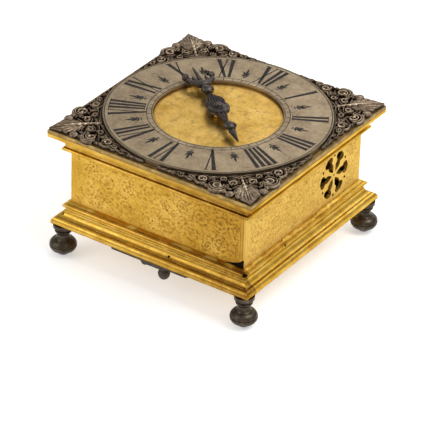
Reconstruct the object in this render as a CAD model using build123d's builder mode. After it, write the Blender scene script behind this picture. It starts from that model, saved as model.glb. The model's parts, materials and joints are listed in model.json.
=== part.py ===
from build123d import *
from math import asin, cos, degrees, hypot, pi, radians, sin
import os

# A square table clock that lies flat: a gilt case on four turned feet, the dial on top under a
# single hour hand, and inside it a spring-driven movement that goes by a verge and strikes a bell.
# Millimetres, +Z up. The origin is on the floor under the middle of the dial.
# XII points to +Y, III to +X, VI to -Y and IX to -X, so the front is the VI side.

os.makedirs("parts", exist_ok=True)

# Heights of the case, stacked from the floor
foot_height = 17.5
base_height = 11.5
wall_height = 30.4
frame_height = 11.0
dial_thickness = 1.6
base_bottom = foot_height
base_top = base_bottom + base_height
wall_top = base_top + wall_height
frame_top = wall_top + frame_height
dial_top = frame_top + dial_thickness

# Case, half widths measured from the middle and built up from the movement's plates outwards
pillar_centre = 41.0
plate_edge = 4.0
plate_half = pillar_centre + plate_edge
post_gap = 0.9
post_side = 4.0
wall_thickness = 1.8
post_centre = plate_half + post_gap + post_side / 2
wall_inner = plate_half + post_gap + post_side
case_half = wall_inner + wall_thickness
base_overhang = 7.4
base_half = case_half + base_overhang
opening_gap = 1.0
base_opening_half = plate_half + opening_gap
frame_overhang = 8.5
frame_half = case_half + frame_overhang
frame_opening_half = base_opening_half + opening_gap
frame_flange = 1.6

# Sound rosette in the right wall
rosette_radius = 12.8
rosette_along = 27.5
rosette_height = base_top + 15.3
rosette_petals = 6

# Feet
foot_inset = 4.6
foot_centre = base_half - foot_inset
foot_radius = 7.0
foot_sides = 20
foot_bulb_height = 11.6
foot_belly_bottom = 5.2
foot_belly_top = 6.6
foot_button_radius = 2.6
foot_waist_radius = 3.2
foot_collar_radius = 4.5
foot_collar_height = 3.7
foot_stud_radius = 1.5
foot_stud_length = 3.0

# Small pins, tenons and nuts are eight-sided, and so are their holes
small_sides = 8

# Bottom cover, its hinge and its turn latch
cover_gap = 0.4
cover_thickness = 1.6
cover_ledge = 1.4
hinge_radius = 1.4
hinge_pin_radius = 0.7
hinge_leaf_thickness = 0.8
hinge_half_length = 16.0
hinge_middle_half = 8.0
hinge_leaf_reach = 6.0
hinge_y = base_opening_half + 0.2
hinge_z = base_bottom - hinge_radius - 0.1
latch_strip_length = 47.0
latch_strip_width = 6.4
latch_strip_thickness = 1.1
latch_inset = 4.0
latch_y = latch_inset - base_half
latch_pivot_x = -3.5
latch_arm_length = 11.0
latch_arm_width = 5.4
latch_arm_thickness = 1.4
latch_knob_radius = 3.1
latch_knob_drop = 6.2
latch_knob_point = 2.6
latch_screw_radius = 1.0
latch_screw_head_radius = 2.1
latch_screw_head_thickness = 0.9

# Dial
ring_margin = 3.0
ring_width = 24.8
ring_outer_radius = frame_half - ring_margin
ring_inner_radius = ring_outer_radius - ring_width
ring_thickness = 2.4
centre_disc_gap = 0.3
centre_disc_thickness = 0.8
pipe_hole_gap = 0.4
dial_foot_radius = 2.2
dial_foot_tenon_radius = 1.3
dial_foot_inset = 7.0
dial_foot_distance = plate_half - dial_foot_inset
ring_top = dial_top + ring_thickness

# Corner spandrels, laid out from the dial's middle along each diagonal
spandrel_ring_gap = 0.3
spandrel_margin = 1.8
spandrel_thickness = 1.4
spandrel_scrolls = 5
spandrel_pierced_scrolls = 3
spandrel_first_scroll = 12.4
spandrel_scroll_step = 1.1
spandrel_relief = 0.8
scroll_sides = 12
shell_length = 15.0
shell_half_width = 6.3
shell_root_half_width = 2.4
shell_ribs = 5
rib_half_width = 0.7
volute_radius = 3.4
volute_across = 3.9
lobe_radius = 2.3
lobe_across = 6.4
stem_width = 1.6

# Hour hand
hand_turn = 52.0
hand_clearance = 1.5
hand_thickness = 1.8
hub_radius = 6.6
hub_thickness = 3.2
hub_sides = 24
hand_tip = 43.4
leaf_half_width = 4.2
leaf_end_half_width = 1.3
tail_half_width = 2.7
tail_end_half_width = 0.9
neck_half_width = 1.8
knop_front = 15.2
knop_length = 6.0
knop_half_width = 3.4
knop_bevel = 0.9
knop_thickness = 3.0
neck_end = knop_front + knop_length + 2.8
hand_tail = 31.5
finial_half_width = 1.7
finial_length = 10.0
hand_point_half_width = 0.4
crescent_radius = 8.2
crescent_width = 3.6
crescent_centre = 31.8
crescent_rise = 3.2
hour_pipe_radius = 2.6
hour_stud_radius = 1.6
collet_radius = 4.0
collet_thickness = 1.2

# Movement plates and pillars
plate_thickness = 2.0
back_plate_bottom = 40.5
plate_spacing = 20.0
pillar_radius = 3.4
pillar_waist_radius = 2.5
pillar_end_height = 4.0
pillar_tenon_radius = 1.4
pillar_tenon_length = 2.6
taper_pin_side = 0.9
taper_pin_length = 7.0
back_plate_top = back_plate_bottom + plate_thickness
top_plate_bottom = back_plate_top + plate_spacing
top_plate_top = top_plate_bottom + plate_thickness

# Fits
running_fit = 0.05
end_shake = 0.3
free_gap = 0.4
pivot_radius = 0.6
arbor_radius = 0.9
square_arbor_radius = 1.7

# Wheel counts. The fusee turns once in 2 hours 24 minutes and the crown wheel in 26 seconds;
# the strike drum turns once in 12 hours, while 78 hammer pins pass.
hour_teeth = 30
report_leaves = 6
great_teeth = 48
second_leaves = 6
second_teeth = 42
contrate_leaves = 6
contrate_teeth = 36
crown_leaves = 6
crown_teeth = 15
strike_teeth = 36
pin_wheel_leaves = 6
pin_wheel_teeth = 42
hammer_pins = 13
warning_leaves = 6
warning_teeth = 36
fly_leaves = 6
motion_module = 0.8
great_module = 0.73
train_module = 0.62
contrate_module = 0.65
strike_module = 0.8
fly_module = 0.56

# Levels of the wheels between the plates
low_wheel_bottom = back_plate_top + 0.8
wheel_thickness = 1.4
great_wheel_bottom = top_plate_bottom - 3.9
drum_bottom = back_plate_top + 3.8
drum_height = 11.0
pinion_overlap = 0.9
contrate_web_bottom = back_plate_top + 4.6
contrate_pitch_level = back_plate_top + 7.7
warning_wheel_bottom = back_plate_top + 5.6
hour_wheel_bottom = top_plate_top + 1.6

# Barrels and fusee
fusee_drum_gap = 1.5
strike_drum_radius = 13.2
drum_sides = 36
fusee_top_radius = 9.4
fusee_sides = 24
fusee_bottom_radius = 6.2
fusee_steps = 4
fusee_line_radius = 0.5
fusee_line_gap = 0.3
winding_square = 2.4
winding_square_length = 11.0
set_up_square_length = 2.6
ratchet_teeth = 12
ratchet_radius = 5.0
ratchet_thickness = 1.4
arbor_shoulder = 1.4

# Verge escapement
contrate_band = 1.4
contrate_web = 1.2
contrate_tooth_length = 1.15
crown_radius = 6.4
crown_band = 0.7
crown_width = 4.2
crown_tooth_length = 2.0
crown_from_pinion = 4.6
verge_radius = 0.8
verge_from_teeth = 2.5
pallet_gap = 0.3
pallet_width = 1.7
pallet_thickness = 0.5
balance_radius = 16.5
balance_rim = 1.6
balance_sides = 48
balance_hub_radius = 3.2
balance_arm_width = 2.6
balance_thickness = 1.2
balance_drop = 4.0
cock_gap = 1.4
cock_thickness = 1.6
cock_table_radius = 3.4
cock_foot_width = 6.8
cock_foot_length = 5.2
cock_neck_width = 3.2

# Striking
pin_wheel_bottom = top_plate_bottom - 2.0
hammer_pin_circle = 9.5
hammer_pin_radius = 0.4
hammer_pin_length = 1.9
count_wheel_radius = 13.3
count_wheel_thickness = 0.9
count_notch_depth = 1.5
hours_on_count_wheel = 12
all_blows = 78
fly_half_width = 6.5
fly_height = 9.0
fly_thickness = 0.5
detent_width = 2.2

# Bell and hammer
bell_radius = 23.5
bell_right_gap = 2.9
bell_back_gap = 5.9
bell_at = (wall_inner - bell_right_gap - bell_radius, wall_inner - bell_back_gap - bell_radius)
bell_sides = 32
bell_depth = 16.0
bell_thickness = 1.3
bell_crown_radius = 17.0
bell_plate_gap = 2.0
bell_lip = 1.5
bell_post_radius = 2.2
bell_post_shoulder = 1.0
bell_nut_radius = 3.6
bell_nut_thickness = 1.8
hammer_head_radius = 3.0
hammer_head_height = 4.5
hammer_arm_width = 2.0
hammer_arm_thickness = 1.2
hammer_tail_thickness = 1.4
hammer_gap = 0.9
hammer_bell_angle = 230.0


def polar(origin, distance, angle):
    return (origin[0] + distance * cos(radians(angle)), origin[1] + distance * sin(radians(angle)))


def pitch_radius(teeth, module):
    return teeth * module / 2


# Each arbor stands off the one before it by the sum of their pitch radii
middle = (0.0, 0.0)
hour_to_fusee = 213.7
fusee_to_second = 260.0
second_to_contrate = 5.0
strike_to_pin_wheel = -20.0
pin_wheel_to_warning = 15.0
warning_to_fly = -10.0
drum_inset_x = 9.5
drum_inset_y = 20.0
strike_inset = 14.0
motion_distance = pitch_radius(hour_teeth + report_leaves, motion_module)
fusee_at = polar(middle, motion_distance, hour_to_fusee)
great_distance = pitch_radius(great_teeth + second_leaves, great_module)
second_at = polar(fusee_at, great_distance, fusee_to_second)
second_distance = pitch_radius(second_teeth + contrate_leaves, train_module)
contrate_at = polar(second_at, second_distance, second_to_contrate)
barrel_at = (drum_inset_x - pillar_centre, drum_inset_y - pillar_centre)
barrel_to_fusee = hypot(fusee_at[0] - barrel_at[0], fusee_at[1] - barrel_at[1])
drum_radius = barrel_to_fusee - fusee_top_radius - fusee_drum_gap
strike_at = (strike_inset - pillar_centre, pillar_centre - strike_inset)
strike_distance = pitch_radius(strike_teeth + pin_wheel_leaves, strike_module)
pin_wheel_at = polar(strike_at, strike_distance, strike_to_pin_wheel)
pin_distance = pitch_radius(pin_wheel_teeth + warning_leaves, train_module)
warning_at = polar(pin_wheel_at, pin_distance, pin_wheel_to_warning)
warning_distance = pitch_radius(warning_teeth + fly_leaves, fly_module)
fly_at = polar(warning_at, warning_distance, warning_to_fly)
pin_wheel_to_hammer = -48.0
pin_wheel_to_hammer_distance = 15.2
hammer_at = polar(pin_wheel_at, pin_wheel_to_hammer_distance, pin_wheel_to_hammer)
strike_to_detent = 280.0
strike_to_detent_distance = 18.0
detent_at = polar(strike_at, strike_to_detent_distance, strike_to_detent)

contrate_radius = pitch_radius(contrate_teeth, contrate_module)
crown_pinion_radius = pitch_radius(crown_leaves, contrate_module)
crown_level = contrate_pitch_level + crown_pinion_radius
crown_pinion_x = contrate_at[0] + contrate_radius
crown_left = crown_pinion_x + crown_from_pinion
crown_tips = crown_left + crown_width
verge_at = (crown_tips + verge_from_teeth, contrate_at[1])


def toothed_points(teeth, pitch, addendum, dedendum, root_share, tip_share, tooth_at):
    """Corners of an outline with flat-topped leaves; a leaf is centred on the angle tooth_at."""
    step = 360 / teeth
    points = []
    for tooth in range(teeth):
        centre = tooth_at + tooth * step
        points.append(polar(middle, pitch - dedendum, centre - root_share * step))
        points.append(polar(middle, pitch + addendum, centre - tip_share * step))
        points.append(polar(middle, pitch + addendum, centre + tip_share * step))
        points.append(polar(middle, pitch - dedendum, centre + root_share * step))
    return points


def wheel(at, teeth, module, bottom, tooth_at, rim=2.0, spokes=4):
    """A brass wheel with filed teeth and crossings; a tooth points along tooth_at."""
    pitch = pitch_radius(teeth, module)
    rim_radius = pitch - 1.2 * module - rim
    hub_radius = 3.4
    half_arm = 0.9
    half_turn = 180 / spokes
    rim_turn = half_turn - degrees(asin(half_arm / rim_radius))
    hub_turn = half_turn - degrees(asin(half_arm / hub_radius))
    points = []
    for tooth in range(teeth):
        points.append(polar(middle, pitch + 0.9 * module, tooth_at + 360 * tooth / teeth))
        points.append(polar(middle, pitch - 1.2 * module, tooth_at + 360 * (tooth + 0.5) / teeth))
    with BuildSketch() as window:
        with BuildLine():
            Polyline(polar(middle, hub_radius, -hub_turn), polar(middle, rim_radius, -rim_turn),
                     polar(middle, rim_radius, 0), polar(middle, rim_radius, rim_turn),
                     polar(middle, hub_radius, hub_turn), close=True)
        make_face()
    with BuildPart() as blank:
        with BuildSketch(Plane.XY.offset(bottom)):
            with BuildLine():
                Polyline(*points, close=True)
            make_face()
            with PolarLocations(0, spokes, start_angle=tooth_at):
                add(window.sketch, mode=Mode.SUBTRACT)
        extrude(amount=wheel_thickness)
    return blank.part.moved(Location((at[0], at[1], 0)))


def pinion(at, leaves, module, bottom, top, tooth_at):
    """The cut leaves of a steel pinion, solid to its axis."""
    pitch = pitch_radius(leaves, module)
    points = toothed_points(leaves, pitch, 0.6 * module, 1.15 * module, 0.2, 0.13, tooth_at)
    with BuildPart() as leaves_part:
        with BuildSketch(Plane.XY.offset(bottom)):
            with BuildLine():
                Polyline(*points, close=True)
            make_face()
        extrude(amount=top - bottom)
    return leaves_part.part.moved(Location((at[0], at[1], 0)))


def arbor(at, radius=arbor_radius):
    """A steel arbor that runs in both plates."""
    with BuildPart() as turned:
        with BuildSketch(Plane.XY.offset(back_plate_bottom)):
            with Locations(at):
                Circle(radius)
        extrude(amount=top_plate_top - back_plate_bottom)
    return turned.part


def mitred_frame(section):
    """Four equal bars of this section, mitred into a square frame."""
    reach = 2 * frame_half
    with BuildPart() as bar:
        with BuildSketch(Plane.XZ):
            add(section)
        extrude(amount=reach, both=True)
        with BuildSketch():
            with BuildLine():
                Polyline(middle, (reach, reach), (reach, -reach), close=True)
            make_face()
        extrude(amount=2 * dial_top, mode=Mode.INTERSECT)
    with BuildPart() as frame:
        with PolarLocations(0, 4):
            add(bar.part)
    return frame.part


# Base moulding: flat foot, torus, scotia, fillet and a half-round lip, hollow on the inside
with BuildSketch() as base_section:
    with BuildLine():
        Polyline((base_opening_half, base_bottom), (base_half - 0.7, base_bottom),
                 (base_half, base_bottom + 0.6), (base_half, base_bottom + 1.7))
        ThreePointArc((base_half, base_bottom + 1.7), (base_half - 0.7, base_bottom + 3.4),
                      (base_half - 2.4, base_bottom + 4.3))
        Line((base_half - 2.4, base_bottom + 4.3), (base_half - 3.0, base_bottom + 4.3))
        ThreePointArc((base_half - 3.0, base_bottom + 4.3), (base_half - 4.5, base_bottom + 5.3),
                      (base_half - 5.2, base_bottom + 7.4))
        Polyline((base_half - 5.2, base_bottom + 7.4), (case_half + 1.7, base_bottom + 7.4),
                 (case_half + 1.7, base_bottom + 8.7), (case_half + 2.5, base_bottom + 8.9),
                 (case_half + 2.5, base_top - 1.9))
        ThreePointArc((case_half + 2.5, base_top - 1.9), (case_half + 3.4, base_top - 1.0),
                      (case_half + 2.5, base_top - 0.2))
        Polyline((case_half + 2.5, base_top - 0.2), (case_half + 2.3, base_top),
                 (plate_half + post_gap, base_top), (plate_half + post_gap, base_top - 2.2),
                 (case_half - 0.5, base_top - 2.2), (case_half - 0.5, base_bottom + 7.0),
                 (case_half + 1.5, base_bottom + 4.6), (case_half + 3.5, base_bottom + 3.4),
                 (base_opening_half - cover_ledge, base_bottom + 3.4),
                 (base_opening_half - cover_ledge, base_bottom + cover_thickness + 0.3),
                 (base_opening_half, base_bottom + cover_thickness + 0.3),
                 (base_opening_half, base_bottom))
    make_face()

with BuildPart() as base_moulding:
    add(mitred_frame(base_section.sketch))
    with BuildSketch(Plane.XY.offset(base_bottom)):
        with GridLocations(2 * foot_centre, 2 * foot_centre, 2, 2):
            RegularPolygon(foot_stud_radius + running_fit, small_sides)
    extrude(amount=foot_stud_length + 0.1, mode=Mode.SUBTRACT)
base_moulding.part.label = "base_moulding"
export_step(base_moulding.part, "parts/base_moulding.step")

# Upper moulding: half-round lip, fillet, cavetto and the flat that carries the dial
with BuildSketch() as frame_section:
    with BuildLine():
        Polyline((frame_opening_half, wall_top), (case_half + 2.7, wall_top),
                 (case_half + 2.7, wall_top + 0.2))
        ThreePointArc((case_half + 2.7, wall_top + 0.2), (case_half + 3.6, wall_top + 1.1),
                      (case_half + 2.7, wall_top + 2.0))
        Polyline((case_half + 2.7, wall_top + 2.0), (case_half + 2.2, wall_top + 2.3),
                 (case_half + 2.2, wall_top + 3.3))
        ThreePointArc((case_half + 2.2, wall_top + 3.3),
                      (frame_half - 4.7, frame_top - 4.2),
                      (frame_half - 0.9, frame_top - 2.7))
        Polyline((frame_half - 0.9, frame_top - 2.7), (frame_half - 0.5, frame_top - 2.7),
                 (frame_half, frame_top - 2.1), (frame_half, frame_top - 0.3),
                 (frame_half - 0.3, frame_top), (frame_opening_half, frame_top),
                 (frame_opening_half, frame_top - 2.2), (frame_half - 4.2, frame_top - 2.2),
                 (case_half + 0.2, wall_top + 4.2), (case_half + 0.2, wall_top + frame_flange),
                 (frame_opening_half, wall_top + frame_flange), (frame_opening_half, wall_top))
    make_face()

with BuildPart() as upper_moulding:
    add(mitred_frame(frame_section.sketch))
upper_moulding.part.label = "upper_moulding"
export_step(upper_moulding.part, "parts/upper_moulding.step")

# Corner posts that the walls are riveted to, between the two mouldings
with BuildPart() as corner_posts:
    with BuildSketch(Plane.XY.offset(base_top)):
        with GridLocations(2 * post_centre, 2 * post_centre, 2, 2):
            Rectangle(post_side, post_side)
    extrude(amount=wall_height)
corner_posts.part.label = "corner_posts"
export_step(corner_posts.part, "parts/corner_posts.step")

# Walls, mitred at the corners; the right one is pierced with the sound rosette
with BuildSketch() as petal:
    with BuildLine():
        Polyline(*[(along * rosette_radius, across * rosette_radius) for along, across in (
            (0.15, 0), (0.3, 0.1), (0.45, 0.16), (0.62, 0.135), (0.69, 0.24), (0.8, 0.29), (0.92, 0.23),
            (1.0, 0))])
        mirror(about=Plane.XZ)
    make_face()

for wall_name, wall_turn in (("wall_right", 0), ("wall_back", 90), ("wall_left", 180),
                             ("wall_front", 270)):
    with BuildPart() as wall:
        with BuildSketch(Plane.XY.offset(base_top)):
            with BuildLine():
                Polyline((case_half, -case_half), (case_half, case_half), (wall_inner, wall_inner),
                         (wall_inner, -wall_inner), close=True)
            make_face()
        extrude(amount=wall_height)
        if wall_name == "wall_right":
            with BuildSketch(Plane.YZ.offset(wall_inner)):
                with Locations((rosette_along, rosette_height)):
                    RegularPolygon(0.05 * rosette_radius, 6)
                    with PolarLocations(0, rosette_petals):
                        add(petal.sketch)
                    with PolarLocations(0.9 * rosette_radius, rosette_petals, start_angle=30):
                        RegularPolygon(0.1 * rosette_radius, 3)
            extrude(amount=wall_thickness, mode=Mode.SUBTRACT)
    wall_part = wall.part.rotate(Axis.Z, wall_turn)
    wall_part.label = wall_name
    export_step(wall_part, f"parts/{wall_name}.step")

# Turned feet: a bulb under a waist and a collar, each with a stud up into the base
with BuildPart() as turned_foot:
    with BuildSketch():
        RegularPolygon(foot_radius, foot_sides)
    extrude(amount=foot_bulb_height)
    for end, rise, reach in ((0, foot_belly_bottom, foot_button_radius),
                             (-1, foot_bulb_height - foot_belly_top, foot_waist_radius)):
        end_face = turned_foot.faces().sort_by(Axis.Z)[end]
        chamfer(end_face.edges(), foot_radius - reach, rise, reference=end_face)
    with BuildSketch():
        RegularPolygon(foot_waist_radius, foot_sides)
    extrude(amount=foot_height)
    with BuildSketch(Plane.XY.offset(foot_height - foot_collar_height)):
        RegularPolygon(foot_collar_radius, foot_sides)
    extrude(amount=foot_collar_height)
    with BuildSketch(Plane.XY.offset(foot_height)):
        RegularPolygon(foot_stud_radius, small_sides)
    extrude(amount=foot_stud_length)
with BuildPart() as feet:
    with GridLocations(2 * foot_centre, 2 * foot_centre, 2, 2):
        add(turned_foot.part)
feet.part.label = "feet"
export_step(feet.part, "parts/feet.step")

# Hinge, cover and latch under the base
with BuildPart() as hinge_leaf:
    leaf_outer_y = base_opening_half + hinge_leaf_reach
    for side in (-1, 1):
        knuckle_middle = side * (hinge_half_length + hinge_middle_half + free_gap) / 2
        knuckle_length = hinge_half_length - hinge_middle_half - free_gap
        with BuildSketch(Plane.YZ.offset(knuckle_middle - knuckle_length / 2)):
            with Locations((hinge_y, hinge_z)):
                Circle(hinge_radius)
            with Locations(((hinge_y + leaf_outer_y) / 2 + 0.4, base_bottom - hinge_leaf_thickness / 2)):
                Rectangle(leaf_outer_y - hinge_y - 0.8, hinge_leaf_thickness)
            with Locations((hinge_y, hinge_z)):
                Circle(hinge_pin_radius + running_fit, mode=Mode.SUBTRACT)
        extrude(amount=knuckle_length)
    with BuildSketch(Plane.XY.offset(base_bottom - hinge_leaf_thickness)):
        with Locations((0, leaf_outer_y - hinge_leaf_reach / 4)):
            Rectangle(2 * hinge_half_length, hinge_leaf_reach / 2)
    extrude(amount=hinge_leaf_thickness)
hinge_leaf.part.label = "hinge_leaf"
export_step(hinge_leaf.part, "parts/hinge_leaf.step")

with BuildPart() as bottom_cover:
    cover_half = base_opening_half - cover_gap
    with BuildSketch(Plane.XY.offset(base_bottom)):
        Rectangle(2 * cover_half, 2 * cover_half)
    extrude(amount=cover_thickness)
    chamfer(bottom_cover.edges().group_by(Axis.Z)[0], 0.3)
    with BuildSketch(Plane.YZ.offset(-hinge_middle_half)):
        with Locations((hinge_y, hinge_z)):
            Circle(hinge_radius)
        with Locations((hinge_y - hinge_leaf_reach / 2 - 0.6, base_bottom - hinge_leaf_thickness / 2)):
            Rectangle(hinge_leaf_reach, hinge_leaf_thickness)
        with Locations((hinge_y, hinge_z)):
            Circle(hinge_pin_radius + running_fit, mode=Mode.SUBTRACT)
    extrude(amount=2 * hinge_middle_half)
bottom_cover.part.label = "bottom_cover"
export_step(bottom_cover.part, "parts/bottom_cover.step")

with BuildPart() as hinge_pin:
    with BuildSketch(Plane.YZ.offset(-hinge_half_length - 0.6)):
        with Locations((hinge_y, hinge_z)):
            Circle(hinge_pin_radius)
    extrude(amount=2 * hinge_half_length + 1.2)
hinge_pin.part.label = "hinge_pin"
export_step(hinge_pin.part, "parts/hinge_pin.step")

latch_strip_bottom = base_bottom - latch_strip_thickness
latch_arm_top = latch_strip_bottom - 0.1
latch_arm_bottom = latch_arm_top - latch_arm_thickness
with BuildPart() as latch_strip:
    with BuildSketch(Plane.XY.offset(latch_strip_bottom)):
        with Locations((0, latch_y)):
            Rectangle(latch_strip_length, latch_strip_width)
        with Locations((latch_pivot_x, latch_y)):
            Circle(latch_screw_radius + running_fit, mode=Mode.SUBTRACT)
    extrude(amount=latch_strip_thickness)
    chamfer(latch_strip.edges().filter_by(Axis.Z).group_by(Axis.X)[0], 1.5)
    chamfer(latch_strip.edges().filter_by(Axis.Z).group_by(Axis.X)[-1], 1.5)
latch_strip.part.label = "latch_strip"
export_step(latch_strip.part, "parts/latch_strip.step")

with BuildPart() as latch_arm:
    knob_x = latch_pivot_x + latch_arm_length
    with BuildSketch(Plane.XY.offset(latch_arm_bottom)):
        with Locations((latch_pivot_x + latch_arm_length / 2, latch_y)):
            Rectangle(latch_arm_length, latch_arm_width)
        with Locations((latch_pivot_x, latch_y), (knob_x, latch_y)):
            RegularPolygon(latch_arm_width / 2, small_sides, major_radius=False, rotation=22.5)
        with Locations((latch_pivot_x, latch_y)):
            Circle(latch_screw_radius + running_fit, mode=Mode.SUBTRACT)
    extrude(amount=latch_arm_thickness)
    with BuildPart(mode=Mode.PRIVATE) as latch_knob:
        with BuildSketch(Plane.XY.offset(latch_arm_bottom)):
            with Locations((knob_x, latch_y)):
                RegularPolygon(latch_knob_radius, foot_sides)
        extrude(amount=-latch_knob_drop)
        knob_end = latch_knob.faces().sort_by(Axis.Z)[0]
        chamfer(knob_end.edges(), 0.6 * latch_knob_point, latch_knob_point, reference=knob_end)
    add(latch_knob.part)
latch_arm.part.label = "latch_arm"
export_step(latch_arm.part, "parts/latch_arm.step")

with BuildPart() as latch_screw:
    with BuildSketch(Plane.XY.offset(latch_arm_bottom - 0.1)):
        with Locations((latch_pivot_x, latch_y)):
            RegularPolygon(latch_screw_head_radius, foot_sides)
    extrude(amount=-latch_screw_head_thickness)
    with BuildSketch(Plane.XY.offset(latch_arm_bottom - 0.1)):
        with Locations((latch_pivot_x, latch_y)):
            Circle(latch_screw_radius)
    extrude(amount=base_bottom - latch_arm_bottom + 0.1)
latch_screw.part.label = "latch_screw"
export_step(latch_screw.part, "parts/latch_screw.step")

# Dial plate, with four feet that stand on the movement's top plate
dial_foot_pin_level = top_plate_bottom - 1.0
pin_hole_side = taper_pin_side + 2 * running_fit
with BuildPart() as dial_plate:
    with BuildSketch(Plane.XY.offset(frame_top)):
        Rectangle(2 * frame_half, 2 * frame_half)
    extrude(amount=dial_thickness)
    chamfer(dial_plate.edges().group_by(Axis.Z)[-1], 0.3)
    with BuildSketch(Plane.XY.offset(frame_top)):
        with PolarLocations(dial_foot_distance, 4):
            RegularPolygon(dial_foot_radius, small_sides)
    extrude(amount=top_plate_top - frame_top)
    with BuildSketch(Plane.XY.offset(top_plate_top)):
        with PolarLocations(dial_foot_distance, 4):
            RegularPolygon(dial_foot_tenon_radius, small_sides)
    extrude(amount=-plate_thickness - pillar_tenon_length)
    with BuildSketch(Plane.YZ.offset(-dial_foot_distance - dial_foot_radius)):
        with Locations((0, dial_foot_pin_level), (dial_foot_distance, dial_foot_pin_level),
                       (-dial_foot_distance, dial_foot_pin_level)):
            Rectangle(pin_hole_side, pin_hole_side)
    extrude(amount=2 * (dial_foot_distance + dial_foot_radius), mode=Mode.SUBTRACT)
    with BuildSketch(Plane.XY.offset(frame_top)):
        Circle(hour_pipe_radius + pipe_hole_gap)
    extrude(amount=dial_thickness, mode=Mode.SUBTRACT)
dial_plate.part.label = "dial_plate"
export_step(dial_plate.part, "parts/dial_plate.step")

with BuildPart() as chapter_ring:
    with BuildSketch(Plane.XY.offset(dial_top)):
        Circle(ring_outer_radius)
        Circle(ring_inner_radius, mode=Mode.SUBTRACT)
    extrude(amount=ring_thickness)
chapter_ring.part.label = "chapter_ring"
export_step(chapter_ring.part, "parts/chapter_ring.step")

with BuildPart() as dial_centre:
    with BuildSketch(Plane.XY.offset(dial_top)):
        Circle(ring_inner_radius - centre_disc_gap)
        Circle(hour_pipe_radius + pipe_hole_gap, mode=Mode.SUBTRACT)
    extrude(amount=centre_disc_thickness)
dial_centre.part.label = "dial_centre"
export_step(dial_centre.part, "parts/dial_centre.step")

# Corner spandrels: a ribbed shell in the corner, then scrolls that shrink along both sides.
# Each scroll fills the space between the chapter ring and the plate's plain margin.
spandrel_inner = ring_outer_radius + spandrel_ring_gap
corner_reach = (frame_half - spandrel_margin) * 2 ** 0.5
shell_root = corner_reach - shell_length


def scroll_radius(across):
    """Radius of the circle at this distance across that touches both the ring and the margin."""
    along = corner_reach - across
    half_sum = 2 ** 0.5 * along + spandrel_inner
    return half_sum - (half_sum ** 2 - across ** 2 - along ** 2 + spandrel_inner ** 2) ** 0.5


scrolls = []
scroll_across = spandrel_first_scroll
for _ in range(spandrel_scrolls):
    radius = scroll_radius(scroll_across)
    scrolls.append((scroll_across, corner_reach - 2 ** 0.5 * radius - scroll_across, radius))
    scroll_across += spandrel_scroll_step * radius

with BuildSketch() as spandrel_outline:
    with BuildLine():
        shell_side = corner_reach - shell_half_width
        Polyline((-shell_root_half_width, shell_root), (-shell_half_width, shell_side), (0, corner_reach),
                 (shell_half_width, shell_side), (shell_root_half_width, shell_root), close=True)
    make_face()
    with Locations((0, (spandrel_inner + shell_root) / 2)):
        Rectangle(stem_width, shell_root - spandrel_inner + 1.0)
    for side in (-1, 1):
        for across, along, radius in scrolls:
            with Locations((side * across, along)):
                RegularPolygon(radius, scroll_sides, rotation=45)
        for across, along, radius in scrolls[:spandrel_pierced_scrolls]:
            with Locations((side * across, along)):
                RegularPolygon(0.4 * radius, 6, mode=Mode.SUBTRACT)
        with Locations((side * volute_across, spandrel_inner + volute_across + 2.5)):
            RegularPolygon(volute_radius, scroll_sides)
        with Locations((side * lobe_across, shell_root + 2 * lobe_radius)):
            RegularPolygon(lobe_radius, scroll_sides)
    Circle(spandrel_inner, mode=Mode.SUBTRACT)

for corner_name, corner_turn in (("back_right", 45), ("back_left", 135), ("front_left", 225),
                                 ("front_right", 315)):
    across_corner = (sin(radians(corner_turn)), -cos(radians(corner_turn)), 0)
    diagonal = Plane(origin=(0, 0, dial_top), x_dir=across_corner, z_dir=(0, 0, 1))
    with BuildPart() as spandrel:
        with BuildSketch(diagonal):
            add(spandrel_outline.sketch)
        extrude(amount=spandrel_thickness)
        with BuildSketch(diagonal.offset(spandrel_thickness)):
            for rib in range(shell_ribs):
                lean = radians(66 * (rib / (shell_ribs - 1) - 0.5))
                rib_end = (shell_length - 1.2) / (abs(sin(lean)) + cos(lean)) - 0.4
                rib_mid = 0.62 * rib_end
                rib_out = (rib_mid * sin(lean), shell_root + 1.2 + rib_mid * cos(lean))
                with BuildLine():
                    Polyline((sin(lean), shell_root + 1.2),
                             (rib_out[0] - rib_half_width * cos(lean), rib_out[1]),
                             (rib_end * sin(lean), shell_root + 1.2 + rib_end * cos(lean)),
                             (rib_out[0] + rib_half_width * cos(lean), rib_out[1]), close=True)
                make_face()
        extrude(amount=spandrel_relief)
    spandrel.part.label = f"spandrel_{corner_name}"
    export_step(spandrel.part, f"parts/spandrel_{corner_name}.step")

# Hour hand, drawn along its own length and turned to about a quarter past ten
hand_bottom = ring_top + hand_clearance
hand_direction = (cos(radians(hand_turn)), sin(radians(hand_turn)), 0)
hand_plane = Plane(origin=(0, 0, hand_bottom), x_dir=hand_direction, z_dir=(0, 0, 1))
horn_level = crescent_centre + crescent_rise
leaf_start = 4.6
leaf_end = 13.6
finial_start = hand_tail - finial_length
with BuildSketch() as hand_outline:
    with BuildLine():
        Polyline((leaf_half_width, leaf_start), (leaf_end_half_width, leaf_end),
                 (neck_half_width, knop_front + knop_length), (neck_half_width, neck_end),
                 (leaf_end_half_width, crescent_centre), (0, hand_tip), (0, -hand_tail),
                 (hand_point_half_width, -hand_tail), (finial_half_width, -finial_start),
                 (tail_end_half_width, -knop_front), (tail_half_width, -leaf_start), close=True)
    make_face()
    mirror(about=Plane.YZ)
    with BuildLine():
        outer_horn = (crescent_radius ** 2 - crescent_rise ** 2) ** 0.5
        outer = ThreePointArc((-outer_horn, horn_level), (0, crescent_centre - crescent_radius),
                              (outer_horn, horn_level))
        ThreePointArc(outer @ 1, (0, crescent_centre - crescent_radius + crescent_width), outer @ 0)
    make_face()
    RegularPolygon(hub_radius, hub_sides)
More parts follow.
